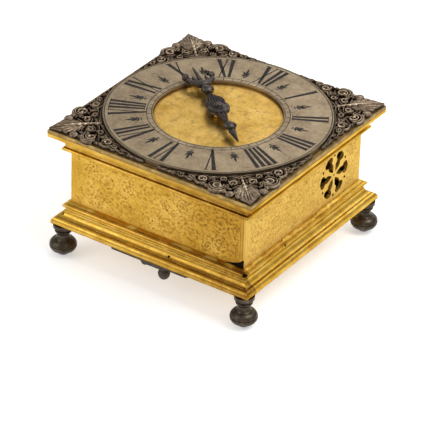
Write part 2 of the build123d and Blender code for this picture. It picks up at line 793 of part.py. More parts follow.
with BuildSketch() as knop_section:
    with BuildLine():
        Polyline((0, 0), (knop_half_width - knop_bevel, knop_bevel), (knop_half_width, knop_length / 2),
                 (knop_half_width - knop_bevel, knop_length - knop_bevel), (0, knop_length), close=True)
    make_face()
    mirror(about=Plane.YZ)

with BuildPart() as hour_hand:
    with BuildSketch(hand_plane):
        add(hand_outline.sketch)
    extrude(amount=hand_thickness)
    with BuildSketch(hand_plane):
        with Locations((0, knop_front), (0, -knop_front - knop_length)):
            add(knop_section.sketch)
    extrude(amount=knop_thickness)
    with BuildSketch(hand_plane.offset(hand_thickness)):
        RegularPolygon(hub_radius, hub_sides)
    extrude(amount=hub_thickness - hand_thickness)
    with BuildSketch(hand_plane):
        Circle(hour_pipe_radius + running_fit)
    extrude(amount=hub_thickness, mode=Mode.SUBTRACT)
hour_hand.part.label = "hour_hand"
export_step(hour_hand.part, "parts/hour_hand.step")

# Collet that presses the hand onto the hour pipe, domed over the end of the stud
collet_bottom = hand_bottom + hub_thickness
with BuildPart() as hand_collet:
    with BuildSketch(Plane.XY.offset(collet_bottom)):
        RegularPolygon(collet_radius, hub_sides)
    extrude(amount=collet_thickness)
    with BuildSketch(Plane.XY.offset(collet_bottom)):
        RegularPolygon(hour_stud_radius, small_sides)
    extrude(amount=-0.6)
hand_collet.part.label = "hand_collet"
export_step(hand_collet.part, "parts/hand_collet.step")

# Movement plates, drilled for every pivot
crown_bracket_left = 3.0
crown_bracket_thickness = 2.0
crown_bracket_width = 6.0
crown_arm_thickness = 1.2
crown_arm_side = crown_radius + 2.2
crown_arm_x = crown_tips + 0.3
potence_width = 4.0
movement_screw_radius = 0.9
movement_screw_head = 1.7
movement_screw_head_thickness = 1.0
bell_tenon_radius = bell_post_radius - 0.6
left_potence_at = (crown_bracket_left + crown_bracket_thickness / 2, contrate_at[1])
right_potence_at = (crown_arm_x + potence_width / 2, contrate_at[1] + crown_arm_side + potence_width / 2)
cock_foot_gap = 1.4
cock_reach = balance_radius + cock_foot_gap + cock_foot_length / 2
cock_foot_at = (verge_at[0] - cock_reach, verge_at[1])
pillar_places = [(x, y) for x in (-pillar_centre, pillar_centre) for y in (-pillar_centre, pillar_centre)]
pivots = (second_at, contrate_at, pin_wheel_at, warning_at, fly_at, hammer_at, detent_at)

with BuildPart() as back_plate:
    with BuildSketch(Plane.XY.offset(back_plate_bottom)):
        Rectangle(2 * plate_half, 2 * plate_half)
        with Locations(*pivots):
            Circle(arbor_radius + running_fit, mode=Mode.SUBTRACT)
        with Locations(fusee_at, strike_at, barrel_at):
            Circle(square_arbor_radius + running_fit, mode=Mode.SUBTRACT)
        with Locations(*pillar_places):
            RegularPolygon(pillar_tenon_radius, small_sides, mode=Mode.SUBTRACT)
        with Locations(verge_at):
            RegularPolygon(verge_radius + 1.2, small_sides, mode=Mode.SUBTRACT)
        with Locations(bell_at):
            RegularPolygon(bell_tenon_radius, small_sides, mode=Mode.SUBTRACT)
        with Locations(cock_foot_at):
            RegularPolygon(movement_screw_radius, small_sides, mode=Mode.SUBTRACT)
    extrude(amount=plate_thickness)
back_plate.part.label = "back_plate"
export_step(back_plate.part, "parts/back_plate.step")

with BuildPart() as top_plate:
    with BuildSketch(Plane.XY.offset(top_plate_bottom)):
        Rectangle(2 * plate_half, 2 * plate_half)
        with Locations(*pivots):
            Circle(arbor_radius + running_fit, mode=Mode.SUBTRACT)
        with Locations(verge_at):
            Circle(verge_radius + running_fit, mode=Mode.SUBTRACT)
        with Locations(fusee_at, strike_at, barrel_at):
            Circle(square_arbor_radius + running_fit, mode=Mode.SUBTRACT)
        with Locations(*pillar_places):
            RegularPolygon(pillar_tenon_radius + running_fit, small_sides, mode=Mode.SUBTRACT)
        with PolarLocations(dial_foot_distance, 4):
            RegularPolygon(dial_foot_tenon_radius + running_fit, small_sides, mode=Mode.SUBTRACT)
        with Locations(middle):
            Circle(hour_stud_radius, mode=Mode.SUBTRACT)
        with Locations(left_potence_at, right_potence_at):
            RegularPolygon(movement_screw_radius + running_fit, small_sides, mode=Mode.SUBTRACT)
    extrude(amount=plate_thickness)
top_plate.part.label = "top_plate"
export_step(top_plate.part, "parts/top_plate.step")

# Four eight-sided pillars, waisted, riveted below and pinned above the top plate
pillar_pin_level = top_plate_top + pin_hole_side / 2
with BuildPart() as pillar:
    with BuildSketch(Plane.XY.offset(back_plate_top)):
        RegularPolygon(pillar_waist_radius, small_sides)
    extrude(amount=plate_spacing)
    for end, height in ((back_plate_top, pillar_end_height), (top_plate_bottom, -pillar_end_height)):
        with BuildSketch(Plane.XY.offset(end)):
            RegularPolygon(pillar_radius, small_sides)
        extrude(amount=height)
    with BuildSketch(Plane.XY.offset(back_plate_bottom)):
        RegularPolygon(pillar_tenon_radius, small_sides)
    extrude(amount=plate_thickness)
    with BuildSketch(Plane.XY.offset(top_plate_bottom)):
        RegularPolygon(pillar_tenon_radius, small_sides)
    extrude(amount=plate_thickness + pillar_tenon_length)
    with BuildSketch(Plane.YZ.offset(-pillar_radius)):
        with Locations((0, pillar_pin_level)):
            Rectangle(pin_hole_side, pin_hole_side)
    extrude(amount=2 * pillar_radius, mode=Mode.SUBTRACT)
with BuildPart() as pillars:
    with Locations(*pillar_places):
        add(pillar.part)
pillars.part.label = "pillars"
export_step(pillars.part, "parts/pillars.step")

with BuildPart() as taper_pins:
    with Locations(*[(x, y, pillar_pin_level) for x, y in pillar_places]):
        Box(taper_pin_length, taper_pin_side, taper_pin_side)
    with Locations((0, 0, dial_foot_pin_level)):
        with PolarLocations(dial_foot_distance, 4, rotate=False):
            Box(taper_pin_length, taper_pin_side, taper_pin_side)
taper_pins.part.label = "taper_pins"
export_step(taper_pins.part, "parts/taper_pins.step")

# Motion work: the hour wheel turns on a stud and its pipe carries the hand
with BuildPart() as hour_stud:
    with BuildSketch(Plane.XY.offset(top_plate_bottom)):
        Circle(hour_stud_radius)
    extrude(amount=collet_bottom - 0.7 - top_plate_bottom)
    with BuildSketch(Plane.XY.offset(top_plate_top)):
        RegularPolygon(hour_stud_radius + arbor_shoulder, small_sides)
    extrude(amount=hour_wheel_bottom - running_fit - top_plate_top)
hour_stud.part.label = "hour_stud"
export_step(hour_stud.part, "parts/hour_stud.step")

with BuildPart() as hour_wheel:
    add(wheel(middle, hour_teeth, motion_module, hour_wheel_bottom, hour_to_fusee))
    with BuildSketch(Plane.XY.offset(hour_wheel_bottom)):
        Circle(hour_stud_radius + running_fit)
    extrude(amount=wheel_thickness, mode=Mode.SUBTRACT)
    with BuildSketch(Plane.XY.offset(hour_wheel_bottom)):
        Circle(hour_pipe_radius)
        Circle(hour_stud_radius + running_fit, mode=Mode.SUBTRACT)
    extrude(amount=collet_bottom - hour_wheel_bottom)
hour_wheel.part.label = "hour_wheel"
export_step(hour_wheel.part, "parts/hour_wheel.step")


# Going barrel, closed over its mainspring, on an arbor held still by the set-up ratchet
def drum(at, radius, bore):
    """A closed spring drum with a hole for its arbor."""
    with BuildPart() as closed:
        with BuildSketch(Plane.XY.offset(drum_bottom)):
            with Locations(at):
                RegularPolygon(radius, drum_sides)
                Circle(bore, mode=Mode.SUBTRACT)
        extrude(amount=drum_height)
    return closed.part


with BuildPart() as barrel_drum:
    add(drum(barrel_at, drum_radius, square_arbor_radius + running_fit))
barrel_drum.part.label = "barrel_drum"
export_step(barrel_drum.part, "parts/barrel_drum.step")

with BuildPart() as barrel_arbor:
    add(arbor(barrel_at, square_arbor_radius))
    with BuildSketch(Plane.XY.offset(back_plate_bottom)):
        with BuildLine():
            ratchet_points = [polar(barrel_at, ratchet_radius - 0.9 * (corner % 2),
                                    (corner - 0.7 * (corner % 2)) * 180 / ratchet_teeth)
                              for corner in range(2 * ratchet_teeth)]
            Polyline(*ratchet_points, close=True)
        make_face()
    extrude(amount=-ratchet_thickness)
    with BuildSketch(Plane.XY.offset(back_plate_bottom - ratchet_thickness)):
        with Locations(barrel_at):
            Rectangle(winding_square, winding_square)
    extrude(amount=-set_up_square_length)
    with BuildSketch(Plane.XY.offset(back_plate_top)):
        with Locations(barrel_at):
            RegularPolygon(square_arbor_radius + arbor_shoulder, small_sides)
    extrude(amount=drum_bottom - running_fit - back_plate_top)
barrel_arbor.part.label = "barrel_arbor"
export_step(barrel_arbor.part, "parts/barrel_arbor.step")

# Fusee: steps that widen upwards, cut on the winding arbor under the great wheel
fusee_bottom = drum_bottom
fusee_step_height = (great_wheel_bottom - fusee_bottom) / fusee_steps
fusee_growth = (fusee_top_radius - fusee_bottom_radius) / (fusee_steps - 1)
with BuildPart() as fusee:
    add(arbor(fusee_at, square_arbor_radius))
    for step in range(fusee_steps):
        with BuildSketch(Plane.XY.offset(fusee_bottom + step * fusee_step_height)):
            with Locations(fusee_at):
                RegularPolygon(fusee_bottom_radius + step * fusee_growth, fusee_sides)
        extrude(amount=fusee_step_height)
    with BuildSketch(Plane.XY.offset(back_plate_bottom)):
        with Locations(fusee_at):
            Rectangle(winding_square, winding_square)
    extrude(amount=-winding_square_length)
    report_top = hour_wheel_bottom + wheel_thickness + 0.3
    add(pinion(fusee_at, report_leaves, motion_module, top_plate_top, report_top,
               hour_to_fusee + 180 + 180 / report_leaves))
fusee.part.label = "fusee"
export_step(fusee.part, "parts/fusee.step")

with BuildPart() as great_wheel:
    add(wheel(fusee_at, great_teeth, great_module, great_wheel_bottom, fusee_to_second))
    with BuildSketch(Plane.XY.offset(great_wheel_bottom)):
        with Locations(fusee_at):
            Circle(square_arbor_radius)
    extrude(amount=wheel_thickness, mode=Mode.SUBTRACT)
great_wheel.part.label = "great_wheel"
export_step(great_wheel.part, "parts/great_wheel.step")

# Gut line in one plane: round the drum, straight across, and round one groove of the fusee
line_level = fusee_bottom + 1.5 * fusee_step_height
line_drum_radius = drum_radius + fusee_line_gap + fusee_line_radius
line_fusee_radius = fusee_bottom_radius + fusee_growth + fusee_line_gap + fusee_line_radius
fusee_side = (fusee_at[0] - barrel_at[0], fusee_at[1] - barrel_at[1])
fusee_bearing = degrees(asin(fusee_side[1] / barrel_to_fusee))
line_slant = degrees(asin((line_drum_radius - line_fusee_radius) / barrel_to_fusee))
tangent_bearing = fusee_bearing - 90 + line_slant
drum_wrap = -60.0
fusee_wrap = 60.0
with BuildPart() as fusee_line:
    with BuildLine(Plane.XY.offset(line_level)) as line_path:
        drum_turn = CenterArc(barrel_at, line_drum_radius, tangent_bearing + drum_wrap, -drum_wrap)
        fusee_turn = CenterArc(fusee_at, line_fusee_radius, tangent_bearing, fusee_wrap)
        Line(drum_turn @ 1, fusee_turn @ 0)
    with BuildSketch(Plane(origin=line_path.line @ 0, z_dir=line_path.line % 0)):
        RegularPolygon(fusee_line_radius, 6)
    sweep()
fusee_line.part.label = "fusee_line"
export_step(fusee_line.part, "parts/fusee_line.step")

# Going train between the plates, each wheel in one with its arbor and pinion
with BuildPart() as second_wheel:
    add(arbor(second_at))
    add(wheel(second_at, second_teeth, train_module, low_wheel_bottom, second_to_contrate))
    add(pinion(second_at, second_leaves, great_module, great_wheel_bottom - pinion_overlap,
               great_wheel_bottom + wheel_thickness + pinion_overlap,
               fusee_to_second + 180 + 180 / second_leaves))
second_wheel.part.label = "second_wheel"
export_step(second_wheel.part, "parts/second_wheel.step")


def cup_wheel(radius, band, depth, web, teeth, tooth_length, lean, floor_share):
    """A cup-shaped wheel standing along +Z on its web, its rim as many-sided as it has teeth."""
    half_gap = pi * radius / teeth
    with BuildSketch(Plane.YZ) as notch:
        with BuildLine():
            Polyline(((lean + floor_share) * half_gap, depth - tooth_length),
                     (0.8 * half_gap, depth + 0.1), (-0.8 * half_gap, depth + 0.1),
                     ((lean - floor_share) * half_gap, depth - tooth_length), close=True)
        make_face()
    with BuildPart() as cup:
        with BuildSketch():
            RegularPolygon(radius, teeth)
        extrude(amount=depth)
        with BuildSketch(Plane.XY.offset(web)):
            RegularPolygon(radius - band, teeth)
        extrude(amount=depth - web, mode=Mode.SUBTRACT)
        for tooth in range(teeth):
            turn = 360 * (tooth + 0.5) / teeth
            add(extrude(notch.sketch.rotate(Axis.Z, turn), amount=2 * radius,
                        dir=polar(middle, 1, turn) + (0,)), mode=Mode.SUBTRACT)
    return cup.part


contrate_depth = contrate_pitch_level + 0.45 - contrate_web_bottom
with BuildPart() as contrate_wheel:
    add(arbor(contrate_at))
    contrate_cup = cup_wheel(contrate_radius + contrate_band / 2, contrate_band, contrate_depth,
                             contrate_web, contrate_teeth, contrate_tooth_length, 0, 0.48)
    add(contrate_cup.moved(Location((contrate_at[0], contrate_at[1], contrate_web_bottom))))
    add(pinion(contrate_at, contrate_leaves, train_module, back_plate_top + end_shake,
               low_wheel_bottom + wheel_thickness + pinion_overlap,
               second_to_contrate + 180 + 180 / contrate_leaves))
contrate_wheel.part.label = "contrate_wheel"
export_step(contrate_wheel.part, "parts/contrate_wheel.step")

# Crown wheel, lying on its side, driven by the contrate wheel
crown_frame = Plane(origin=(0, contrate_at[1], crown_level), x_dir=(0, 0, 1), z_dir=(1, 0, 0))
with BuildPart() as crown_wheel:
    crown_cup = cup_wheel(crown_radius, crown_band, crown_width, crown_band, crown_teeth,
                          crown_tooth_length, 0.7, 0.1)
    add(crown_cup.moved(crown_frame.offset(crown_left).location))
    with BuildSketch(crown_frame.offset(crown_bracket_left)):
        Circle(pivot_radius)
    extrude(amount=crown_arm_x + crown_arm_thickness - crown_bracket_left)
    with BuildSketch(crown_frame.offset(crown_pinion_x - 1.6)):
        with BuildLine():
            Polyline(*toothed_points(crown_leaves, crown_pinion_radius, 0.3, 0.6, 0.2, 0.13,
                                      180 / crown_leaves), close=True)
        make_face()
    extrude(amount=3.2)
crown_wheel.part.label = "crown_wheel"
export_step(crown_wheel.part, "parts/crown_wheel.step")

# Potences that hold the two ends of the crown wheel's arbor, screwed under the top plate
with BuildPart() as potences:
    with BuildSketch(Plane.YZ.offset(crown_bracket_left)):
        with Locations((contrate_at[1], (top_plate_bottom + crown_level) / 2 - 0.8)):
            Rectangle(crown_bracket_width, top_plate_bottom - crown_level + 1.6)
        with Locations((contrate_at[1], crown_level)):
            Circle(pivot_radius + running_fit, mode=Mode.SUBTRACT)
    extrude(amount=crown_bracket_thickness)
    with BuildSketch(Plane.YZ.offset(crown_arm_x)):
        with BuildLine():
            arm_root = contrate_at[1] + crown_arm_side
            Polyline((contrate_at[1] - 1.6, crown_level - 1.5),
                     (arm_root + potence_width, crown_level - 1.5),
                     (arm_root + potence_width, top_plate_bottom), (arm_root, top_plate_bottom),
                     (arm_root, crown_level + 1.5), (contrate_at[1] - 1.6, crown_level + 1.5), close=True)
        make_face()
        with Locations((contrate_at[1], crown_level)):
            Circle(pivot_radius + running_fit, mode=Mode.SUBTRACT)
    extrude(amount=crown_arm_thickness)
    with BuildSketch(Plane.XY.offset(top_plate_bottom)):
        with Locations(right_potence_at):
            Rectangle(potence_width, potence_width)
    extrude(amount=-4.0)
    with BuildSketch(Plane.XY.offset(top_plate_bottom)):
        with Locations(left_potence_at, right_potence_at):
            RegularPolygon(movement_screw_radius, small_sides)
    extrude(amount=-3.0, mode=Mode.SUBTRACT)
potences.part.label = "potences"
export_step(potences.part, "parts/potences.step")

# Verge with its two pallets, and the balance wheel below the back plate
balance_bottom = back_plate_bottom - balance_drop
cock_top = balance_bottom - cock_gap
cock_bottom = cock_top - cock_thickness
with BuildPart() as verge:
    with BuildSketch(Plane.XY.offset(cock_bottom)):
        with Locations(verge_at):
            Circle(verge_radius)
    extrude(amount=top_plate_top - cock_bottom)
    pallet_reach = verge_from_teeth - pallet_gap
    for pallet_level, pallet_turn in ((crown_level + crown_radius, 130), (crown_level - crown_radius, 230)):
        with BuildSketch(Plane.XY.offset(pallet_level - pallet_width / 2)):
            with Locations(Location((verge_at[0], verge_at[1], 0), (0, 0, pallet_turn))):
                with Locations((pallet_reach / 2, 0)):
                    Rectangle(pallet_reach, pallet_thickness)
        extrude(amount=pallet_width)
verge.part.label = "verge"
export_step(verge.part, "parts/verge.step")

with BuildPart() as balance_wheel:
    with BuildSketch(Plane.XY.offset(balance_bottom)):
        with Locations(verge_at):
            RegularPolygon(balance_radius, balance_sides)
            RegularPolygon(balance_radius - balance_rim, balance_sides, mode=Mode.SUBTRACT)
            Rectangle(balance_arm_width, 2 * balance_radius - balance_rim)
            RegularPolygon(balance_hub_radius, small_sides)
            Circle(verge_radius, mode=Mode.SUBTRACT)
    extrude(amount=balance_thickness)
balance_wheel.part.label = "balance_wheel"
export_step(balance_wheel.part, "parts/balance_wheel.step")

with BuildPart() as balance_cock:
    with BuildSketch(Plane.XY.offset(cock_bottom)):
        with Locations(cock_foot_at):
            Rectangle(cock_foot_length, cock_foot_width)
        with Locations((cock_foot_at[0] + cock_reach / 2, verge_at[1])):
            Rectangle(cock_reach, cock_neck_width)
        with Locations(verge_at):
            RegularPolygon(cock_table_radius, foot_sides)
            Circle(verge_radius + running_fit, mode=Mode.SUBTRACT)
    extrude(amount=cock_thickness)
    with BuildSketch(Plane.XY.offset(cock_top)):
        with Locations(cock_foot_at):
            Rectangle(cock_foot_length, cock_foot_width)
    extrude(amount=back_plate_bottom - cock_top)
    with BuildSketch(Plane.XY.offset(cock_bottom)):
        with Locations(cock_foot_at):
            RegularPolygon(movement_screw_radius + running_fit, small_sides)
    extrude(amount=back_plate_bottom - cock_bottom, mode=Mode.SUBTRACT)
balance_cock.part.label = "balance_cock"
export_step(balance_cock.part, "parts/balance_cock.step")

with BuildPart() as movement_screws:
    for places, head_level, way, shank in (
            ((left_potence_at, right_potence_at), top_plate_top, -1, plate_thickness + 2.8),
            ((cock_foot_at,), cock_bottom, 1, back_plate_top - cock_bottom)):
        with BuildSketch(Plane.XY.offset(head_level)):
            with Locations(*places):
                RegularPolygon(movement_screw_head, foot_sides)
        extrude(amount=-way * movement_screw_head_thickness)
        with BuildSketch(Plane.XY.offset(head_level)):
            with Locations(*places):
                RegularPolygon(movement_screw_radius, small_sides)
        extrude(amount=way * shank)
movement_screws.part.label = "movement_screws"
export_step(movement_screws.part, "parts/movement_screws.step")

# Striking train: a toothed drum, the count wheel under it, the pin wheel, warning wheel and fly
with BuildPart() as strike_drum:
    add(drum(strike_at, strike_drum_radius, square_arbor_radius + running_fit))
    with BuildPart(mode=Mode.PRIVATE) as strike_teeth_ring:
        add(wheel(strike_at, strike_teeth, strike_module, drum_bottom, strike_to_pin_wheel, 0.2))
        with BuildSketch(Plane.XY.offset(drum_bottom)):
            with Locations(strike_at):
                Circle(strike_drum_radius - 1.0)
        extrude(amount=wheel_thickness, mode=Mode.SUBTRACT)
    add(strike_teeth_ring.part)
strike_drum.part.label = "strike_drum"
export_step(strike_drum.part, "parts/strike_drum.step")

with BuildPart() as strike_arbor:
    add(arbor(strike_at, square_arbor_radius))
    with BuildSketch(Plane.XY.offset(back_plate_bottom)):
        with Locations(strike_at):
            Rectangle(winding_square, winding_square)
    extrude(amount=-winding_square_length)
strike_arbor.part.label = "strike_arbor"
export_step(strike_arbor.part, "parts/strike_arbor.step")

# The count wheel has a notch after each hour's blows: 1, 2, 3 and so on up to 12
with BuildPart() as count_wheel:
    with BuildSketch(Plane.XY.offset(drum_bottom - count_wheel_thickness)):
        with Locations(strike_at):
            RegularPolygon(count_wheel_radius, drum_sides)
            Circle(square_arbor_radius + running_fit, mode=Mode.SUBTRACT)
            blows = 0
            for hour in range(1, hours_on_count_wheel + 1):
                blows += hour
                notch_turn = strike_to_detent + 360 * blows / all_blows
                with Locations(polar(middle, count_wheel_radius, notch_turn)):
                    RegularPolygon(count_notch_depth, 4, mode=Mode.SUBTRACT)
    extrude(amount=count_wheel_thickness)
count_wheel.part.label = "count_wheel"
export_step(count_wheel.part, "parts/count_wheel.step")

with BuildPart() as pin_wheel:
    add(arbor(pin_wheel_at))
    add(wheel(pin_wheel_at, pin_wheel_teeth, train_module, pin_wheel_bottom, pin_wheel_to_warning, 3.8))
    add(pinion(pin_wheel_at, pin_wheel_leaves, strike_module, drum_bottom + 0.2,
               drum_bottom + wheel_thickness + pinion_overlap,
               strike_to_pin_wheel + 180 + 180 / pin_wheel_leaves))
    with BuildSketch(Plane.XY.offset(pin_wheel_bottom)):
        with Locations(pin_wheel_at):
            with PolarLocations(hammer_pin_circle, hammer_pins):
                RegularPolygon(hammer_pin_radius, 6)
    extrude(amount=-hammer_pin_length)
pin_wheel.part.label = "pin_wheel"
export_step(pin_wheel.part, "parts/pin_wheel.step")

with BuildPart() as warning_wheel:
    add(arbor(warning_at))
    add(wheel(warning_at, warning_teeth, fly_module, warning_wheel_bottom, warning_to_fly))
    add(pinion(warning_at, warning_leaves, train_module, pin_wheel_bottom - pinion_overlap,
               top_plate_bottom - end_shake, pin_wheel_to_warning + 180 + 180 / warning_leaves))
warning_wheel.part.label = "warning_wheel"
export_step(warning_wheel.part, "parts/warning_wheel.step")

with BuildPart() as fly:
    add(arbor(fly_at))
    add(pinion(fly_at, fly_leaves, fly_module, warning_wheel_bottom - pinion_overlap,
               warning_wheel_bottom + wheel_thickness + pinion_overlap,
               warning_to_fly + 180 + 180 / fly_leaves))
    with BuildSketch(Plane.XY.offset(top_plate_bottom - 1.2)):
        with Locations(fly_at):
            Rectangle(2 * fly_half_width, fly_thickness)
    extrude(amount=-fly_height)
fly.part.label = "fly"
export_step(fly.part, "parts/fly.step")


def lever(at, reach, width, turn, bottom, thickness):
    """A flat arm that reaches from this arbor, a little past it at its root."""
    tip = polar(at, reach, turn)
    with BuildPart() as arm:
        with BuildSketch(Plane.XY.offset(bottom)):
            with Locations(Location(((at[0] + tip[0]) / 2, (at[1] + tip[1]) / 2, 0), (0, 0, turn))):
                Rectangle(reach + width, width)
        extrude(amount=thickness)
    return arm.part


# Hammer: a tail among the wheels, the arbor, and an arm under the back plate out to the bell
hammer_place = polar(bell_at, bell_radius + hammer_gap + hammer_head_radius, hammer_bell_angle)
hammer_side = (hammer_place[0] - hammer_at[0], hammer_place[1] - hammer_at[1])
hammer_turn = degrees(asin(hammer_side[1] / hypot(*hammer_side)))
tail_width = 2.0
tail_gap = 0.3
tail_length = pin_wheel_to_hammer_distance - hammer_pin_circle - hammer_pin_radius - tail_gap
tail_reach = tail_length - tail_width / 2
tail_bottom = pin_wheel_bottom - hammer_pin_length + 0.1
hammer_arm_bottom = back_plate_bottom - 1.8
with BuildPart() as hammer:
    add(arbor(hammer_at))
    add(lever(hammer_at, tail_reach, tail_width, pin_wheel_to_hammer + 180, tail_bottom,
              hammer_tail_thickness))
    with BuildSketch(Plane.XY.offset(hammer_arm_bottom)):
        with Locations(hammer_at):
            Circle(arbor_radius)
    extrude(amount=back_plate_bottom - hammer_arm_bottom)
    add(lever(hammer_at, hypot(*hammer_side), hammer_arm_width, hammer_turn, hammer_arm_bottom,
              hammer_arm_thickness))
    with BuildSketch(Plane.XY.offset(hammer_arm_bottom + hammer_arm_thickness)):
        with Locations(hammer_place):
            RegularPolygon(hammer_head_radius, foot_sides)
    extrude(amount=-hammer_head_height - hammer_arm_thickness)
hammer.part.label = "hammer"
export_step(hammer.part, "parts/hammer.step")

with BuildPart() as count_detent:
    add(arbor(detent_at))
    detent_reach = strike_to_detent_distance - count_wheel_radius - tail_gap - detent_width / 2
    add(lever(detent_at, detent_reach, detent_width, strike_to_detent + 180,
              drum_bottom - count_wheel_thickness - 0.1, count_wheel_thickness))
count_detent.part.label = "count_detent"
export_step(count_detent.part, "parts/count_detent.step")

# Bell, mouth up under the back plate, on a post with a nut
bell_rim = back_plate_bottom - bell_plate_gap
bell_crown = bell_rim - bell_depth


def bell_form(mouth_radius, crown_radius, bottom):
    """A solid that widens from its crown to its mouth at the bell's rim."""
    with BuildPart() as form:
        with BuildSketch(Plane.XY.offset(bottom)):
            with Locations(bell_at):
                RegularPolygon(mouth_radius, bell_sides)
        extrude(amount=bell_rim - bottom)
        crown = form.faces().sort_by(Axis.Z)[0]
        chamfer(crown.edges(), mouth_radius - crown_radius, bell_rim - bottom - bell_lip, reference=crown)
    return form.part


with BuildPart() as bell:
    add(bell_form(bell_radius, bell_crown_radius, bell_crown))
    add(bell_form(bell_radius - bell_thickness, bell_crown_radius - bell_thickness,
                  bell_crown + bell_thickness), mode=Mode.SUBTRACT)
    with BuildSketch(Plane.XY.offset(bell_crown)):
        with Locations(bell_at):
            RegularPolygon(bell_post_radius, small_sides)
    extrude(amount=bell_thickness, mode=Mode.SUBTRACT)
bell.part.label = "bell"
export_step(bell.part, "parts/bell.step")

with BuildPart() as bell_post:
    with BuildSketch(Plane.XY.offset(bell_crown + bell_thickness)):
        with Locations(bell_at):
            RegularPolygon(bell_post_radius + bell_post_shoulder, small_sides)
    extrude(amount=back_plate_bottom - bell_crown - bell_thickness)
    with BuildSketch(Plane.XY.offset(back_plate_bottom)):
        with Locations(bell_at):
            RegularPolygon(bell_tenon_radius, small_sides)
    extrude(amount=plate_thickness)
    with BuildSketch(Plane.XY.offset(bell_crown)):
        with Locations(bell_at):
            RegularPolygon(bell_post_radius, small_sides)
    extrude(amount=bell_thickness)
    with BuildSketch(Plane.XY.offset(bell_crown)):
        with Locations(bell_at):
            RegularPolygon(bell_nut_radius, 6)
    extrude(amount=-bell_nut_thickness)
bell_post.part.label = "bell_post"
export_step(bell_post.part, "parts/bell_post.step")
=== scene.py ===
"""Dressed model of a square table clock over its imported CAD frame, with studio light and camera."""

import json
import random
from math import atan2, cos, degrees, hypot, pi, radians, sin, sqrt

import bpy
import bmesh
from mathutils import Matrix, Vector, noise


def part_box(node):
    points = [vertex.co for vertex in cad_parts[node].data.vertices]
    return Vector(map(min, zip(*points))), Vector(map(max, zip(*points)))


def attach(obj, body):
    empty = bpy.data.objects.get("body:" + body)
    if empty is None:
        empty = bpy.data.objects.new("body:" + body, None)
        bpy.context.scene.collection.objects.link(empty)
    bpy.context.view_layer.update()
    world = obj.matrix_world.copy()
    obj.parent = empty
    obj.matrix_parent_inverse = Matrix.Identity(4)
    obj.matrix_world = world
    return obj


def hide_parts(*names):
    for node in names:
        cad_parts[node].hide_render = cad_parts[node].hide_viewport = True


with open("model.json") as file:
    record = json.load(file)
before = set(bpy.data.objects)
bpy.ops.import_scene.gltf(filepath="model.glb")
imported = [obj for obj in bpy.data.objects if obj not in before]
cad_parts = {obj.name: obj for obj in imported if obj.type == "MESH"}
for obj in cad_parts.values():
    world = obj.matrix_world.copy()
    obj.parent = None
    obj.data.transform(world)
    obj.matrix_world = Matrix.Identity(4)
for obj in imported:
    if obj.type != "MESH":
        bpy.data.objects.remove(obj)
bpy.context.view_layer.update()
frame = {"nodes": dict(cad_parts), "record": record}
nodes = frame["nodes"]
MM = 0.001


def box_mm(node):
    low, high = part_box(node)
    return low / MM, high / MM


# Levels and sizes of the frame, in millimetres
RING_TOP = box_mm("chapter_ring")[1].z
RING_OUTER = box_mm("chapter_ring")[1].x
DISC_RADIUS = box_mm("dial_centre")[1].x
PLATE_HALF = box_mm("dial_plate")[1].x
PLATE_TOP = box_mm("chapter_ring")[0].z
HAND_BOTTOM = box_mm("hour_hand")[0].z
CASE_HALF = box_mm("wall_right")[1].x
WALL_INNER = box_mm("wall_right")[0].x
WALL_BOTTOM, WALL_TOP = box_mm("wall_right")[0].z, box_mm("wall_right")[1].z
BASE_HALF = box_mm("base_moulding")[1].x
BASE_BOTTOM = box_mm("base_moulding")[0].z
FRAME_HALF = box_mm("upper_moulding")[1].x
FRAME_TOP = box_mm("upper_moulding")[1].z


# Meshes, gathered in millimetres from closed forms

def around(centre, radius, turn):
    """Point on a circle, at a turn in degrees anticlockwise from the first axis."""
    return centre[0] + radius * cos(radians(turn)), centre[1] + radius * sin(radians(turn))


def shifted(across, up, points):
    """Points moved by one step across and one up."""
    return [(across + x, up + y) for x, y in points]


def flat(x, y, z):
    return x, y, z


class Shape:
    """Points in millimetres and faces, gathered from several closed forms."""

    def __init__(self):
        self.points = []
        self.faces = []

    def add(self, points, faces):
        first = len(self.points)
        self.points.extend(points)
        self.faces.extend([tuple(first + index for index in face) for face in faces])

    def loft(self, rings, closed=False):
        """Skin over rings of equally many points; its ends are capped, or joined where it is closed."""
        count, rows = len(rings[0]), len(rings)
        faces = []
        for row in range(rows if closed else rows - 1):
            after = (row + 1) % rows
            for near in range(count):
                far = (near + 1) % count
                faces.append((row * count + near, row * count + far, after * count + far, after * count + near))
        if not closed:
            faces.append(tuple(reversed(range(count))))
            faces.append(tuple(range((rows - 1) * count, rows * count)))
        self.add([point for ring in rings for point in ring], faces)

    def turned(self, profile, at=(0, 0), sides=72):
        """Solid of revolution about an upright line; the profile runs from its lowest to its highest end."""
        self.loft([[(*around(at, max(radius, 0.02), 360 * k / sides), height) for k in range(sides)]
                   for radius, height in profile])

    def revolved_ring(self, section, at=(0, 0), sides=120):
        """Ring of revolution from a closed section of (radius, height) points."""
        self.loft([[(*around(at, radius, 360 * k / sides), height) for radius, height in section]
                   for k in range(sides)], closed=True)

    def slab(self, outline, low, high, place=flat):
        """Flat piece between two levels over a closed outline."""
        self.loft([[place(x, y, level) for x, y in outline] for level in (low, high)])

    def strip(self, path, half_widths, base, heights, section, place=flat):
        """Strip along a path in the plane; the section gives (across, up) as shares of width and height."""
        rings = []
        last = len(path) - 1
        for index, (x, y) in enumerate(path):
            ahead, behind = path[min(index + 1, last)], path[max(index - 1, 0)]
            along = (ahead[0] - behind[0], ahead[1] - behind[1])
            size = hypot(*along) or 1.0
            side = (-along[1] / size, along[0] / size)
            width, height = half_widths[index], heights[index]
            rings.append([place(x + across * width * side[0], y + across * width * side[1], base + up * height)
                          for across, up in section])
        self.loft(rings)


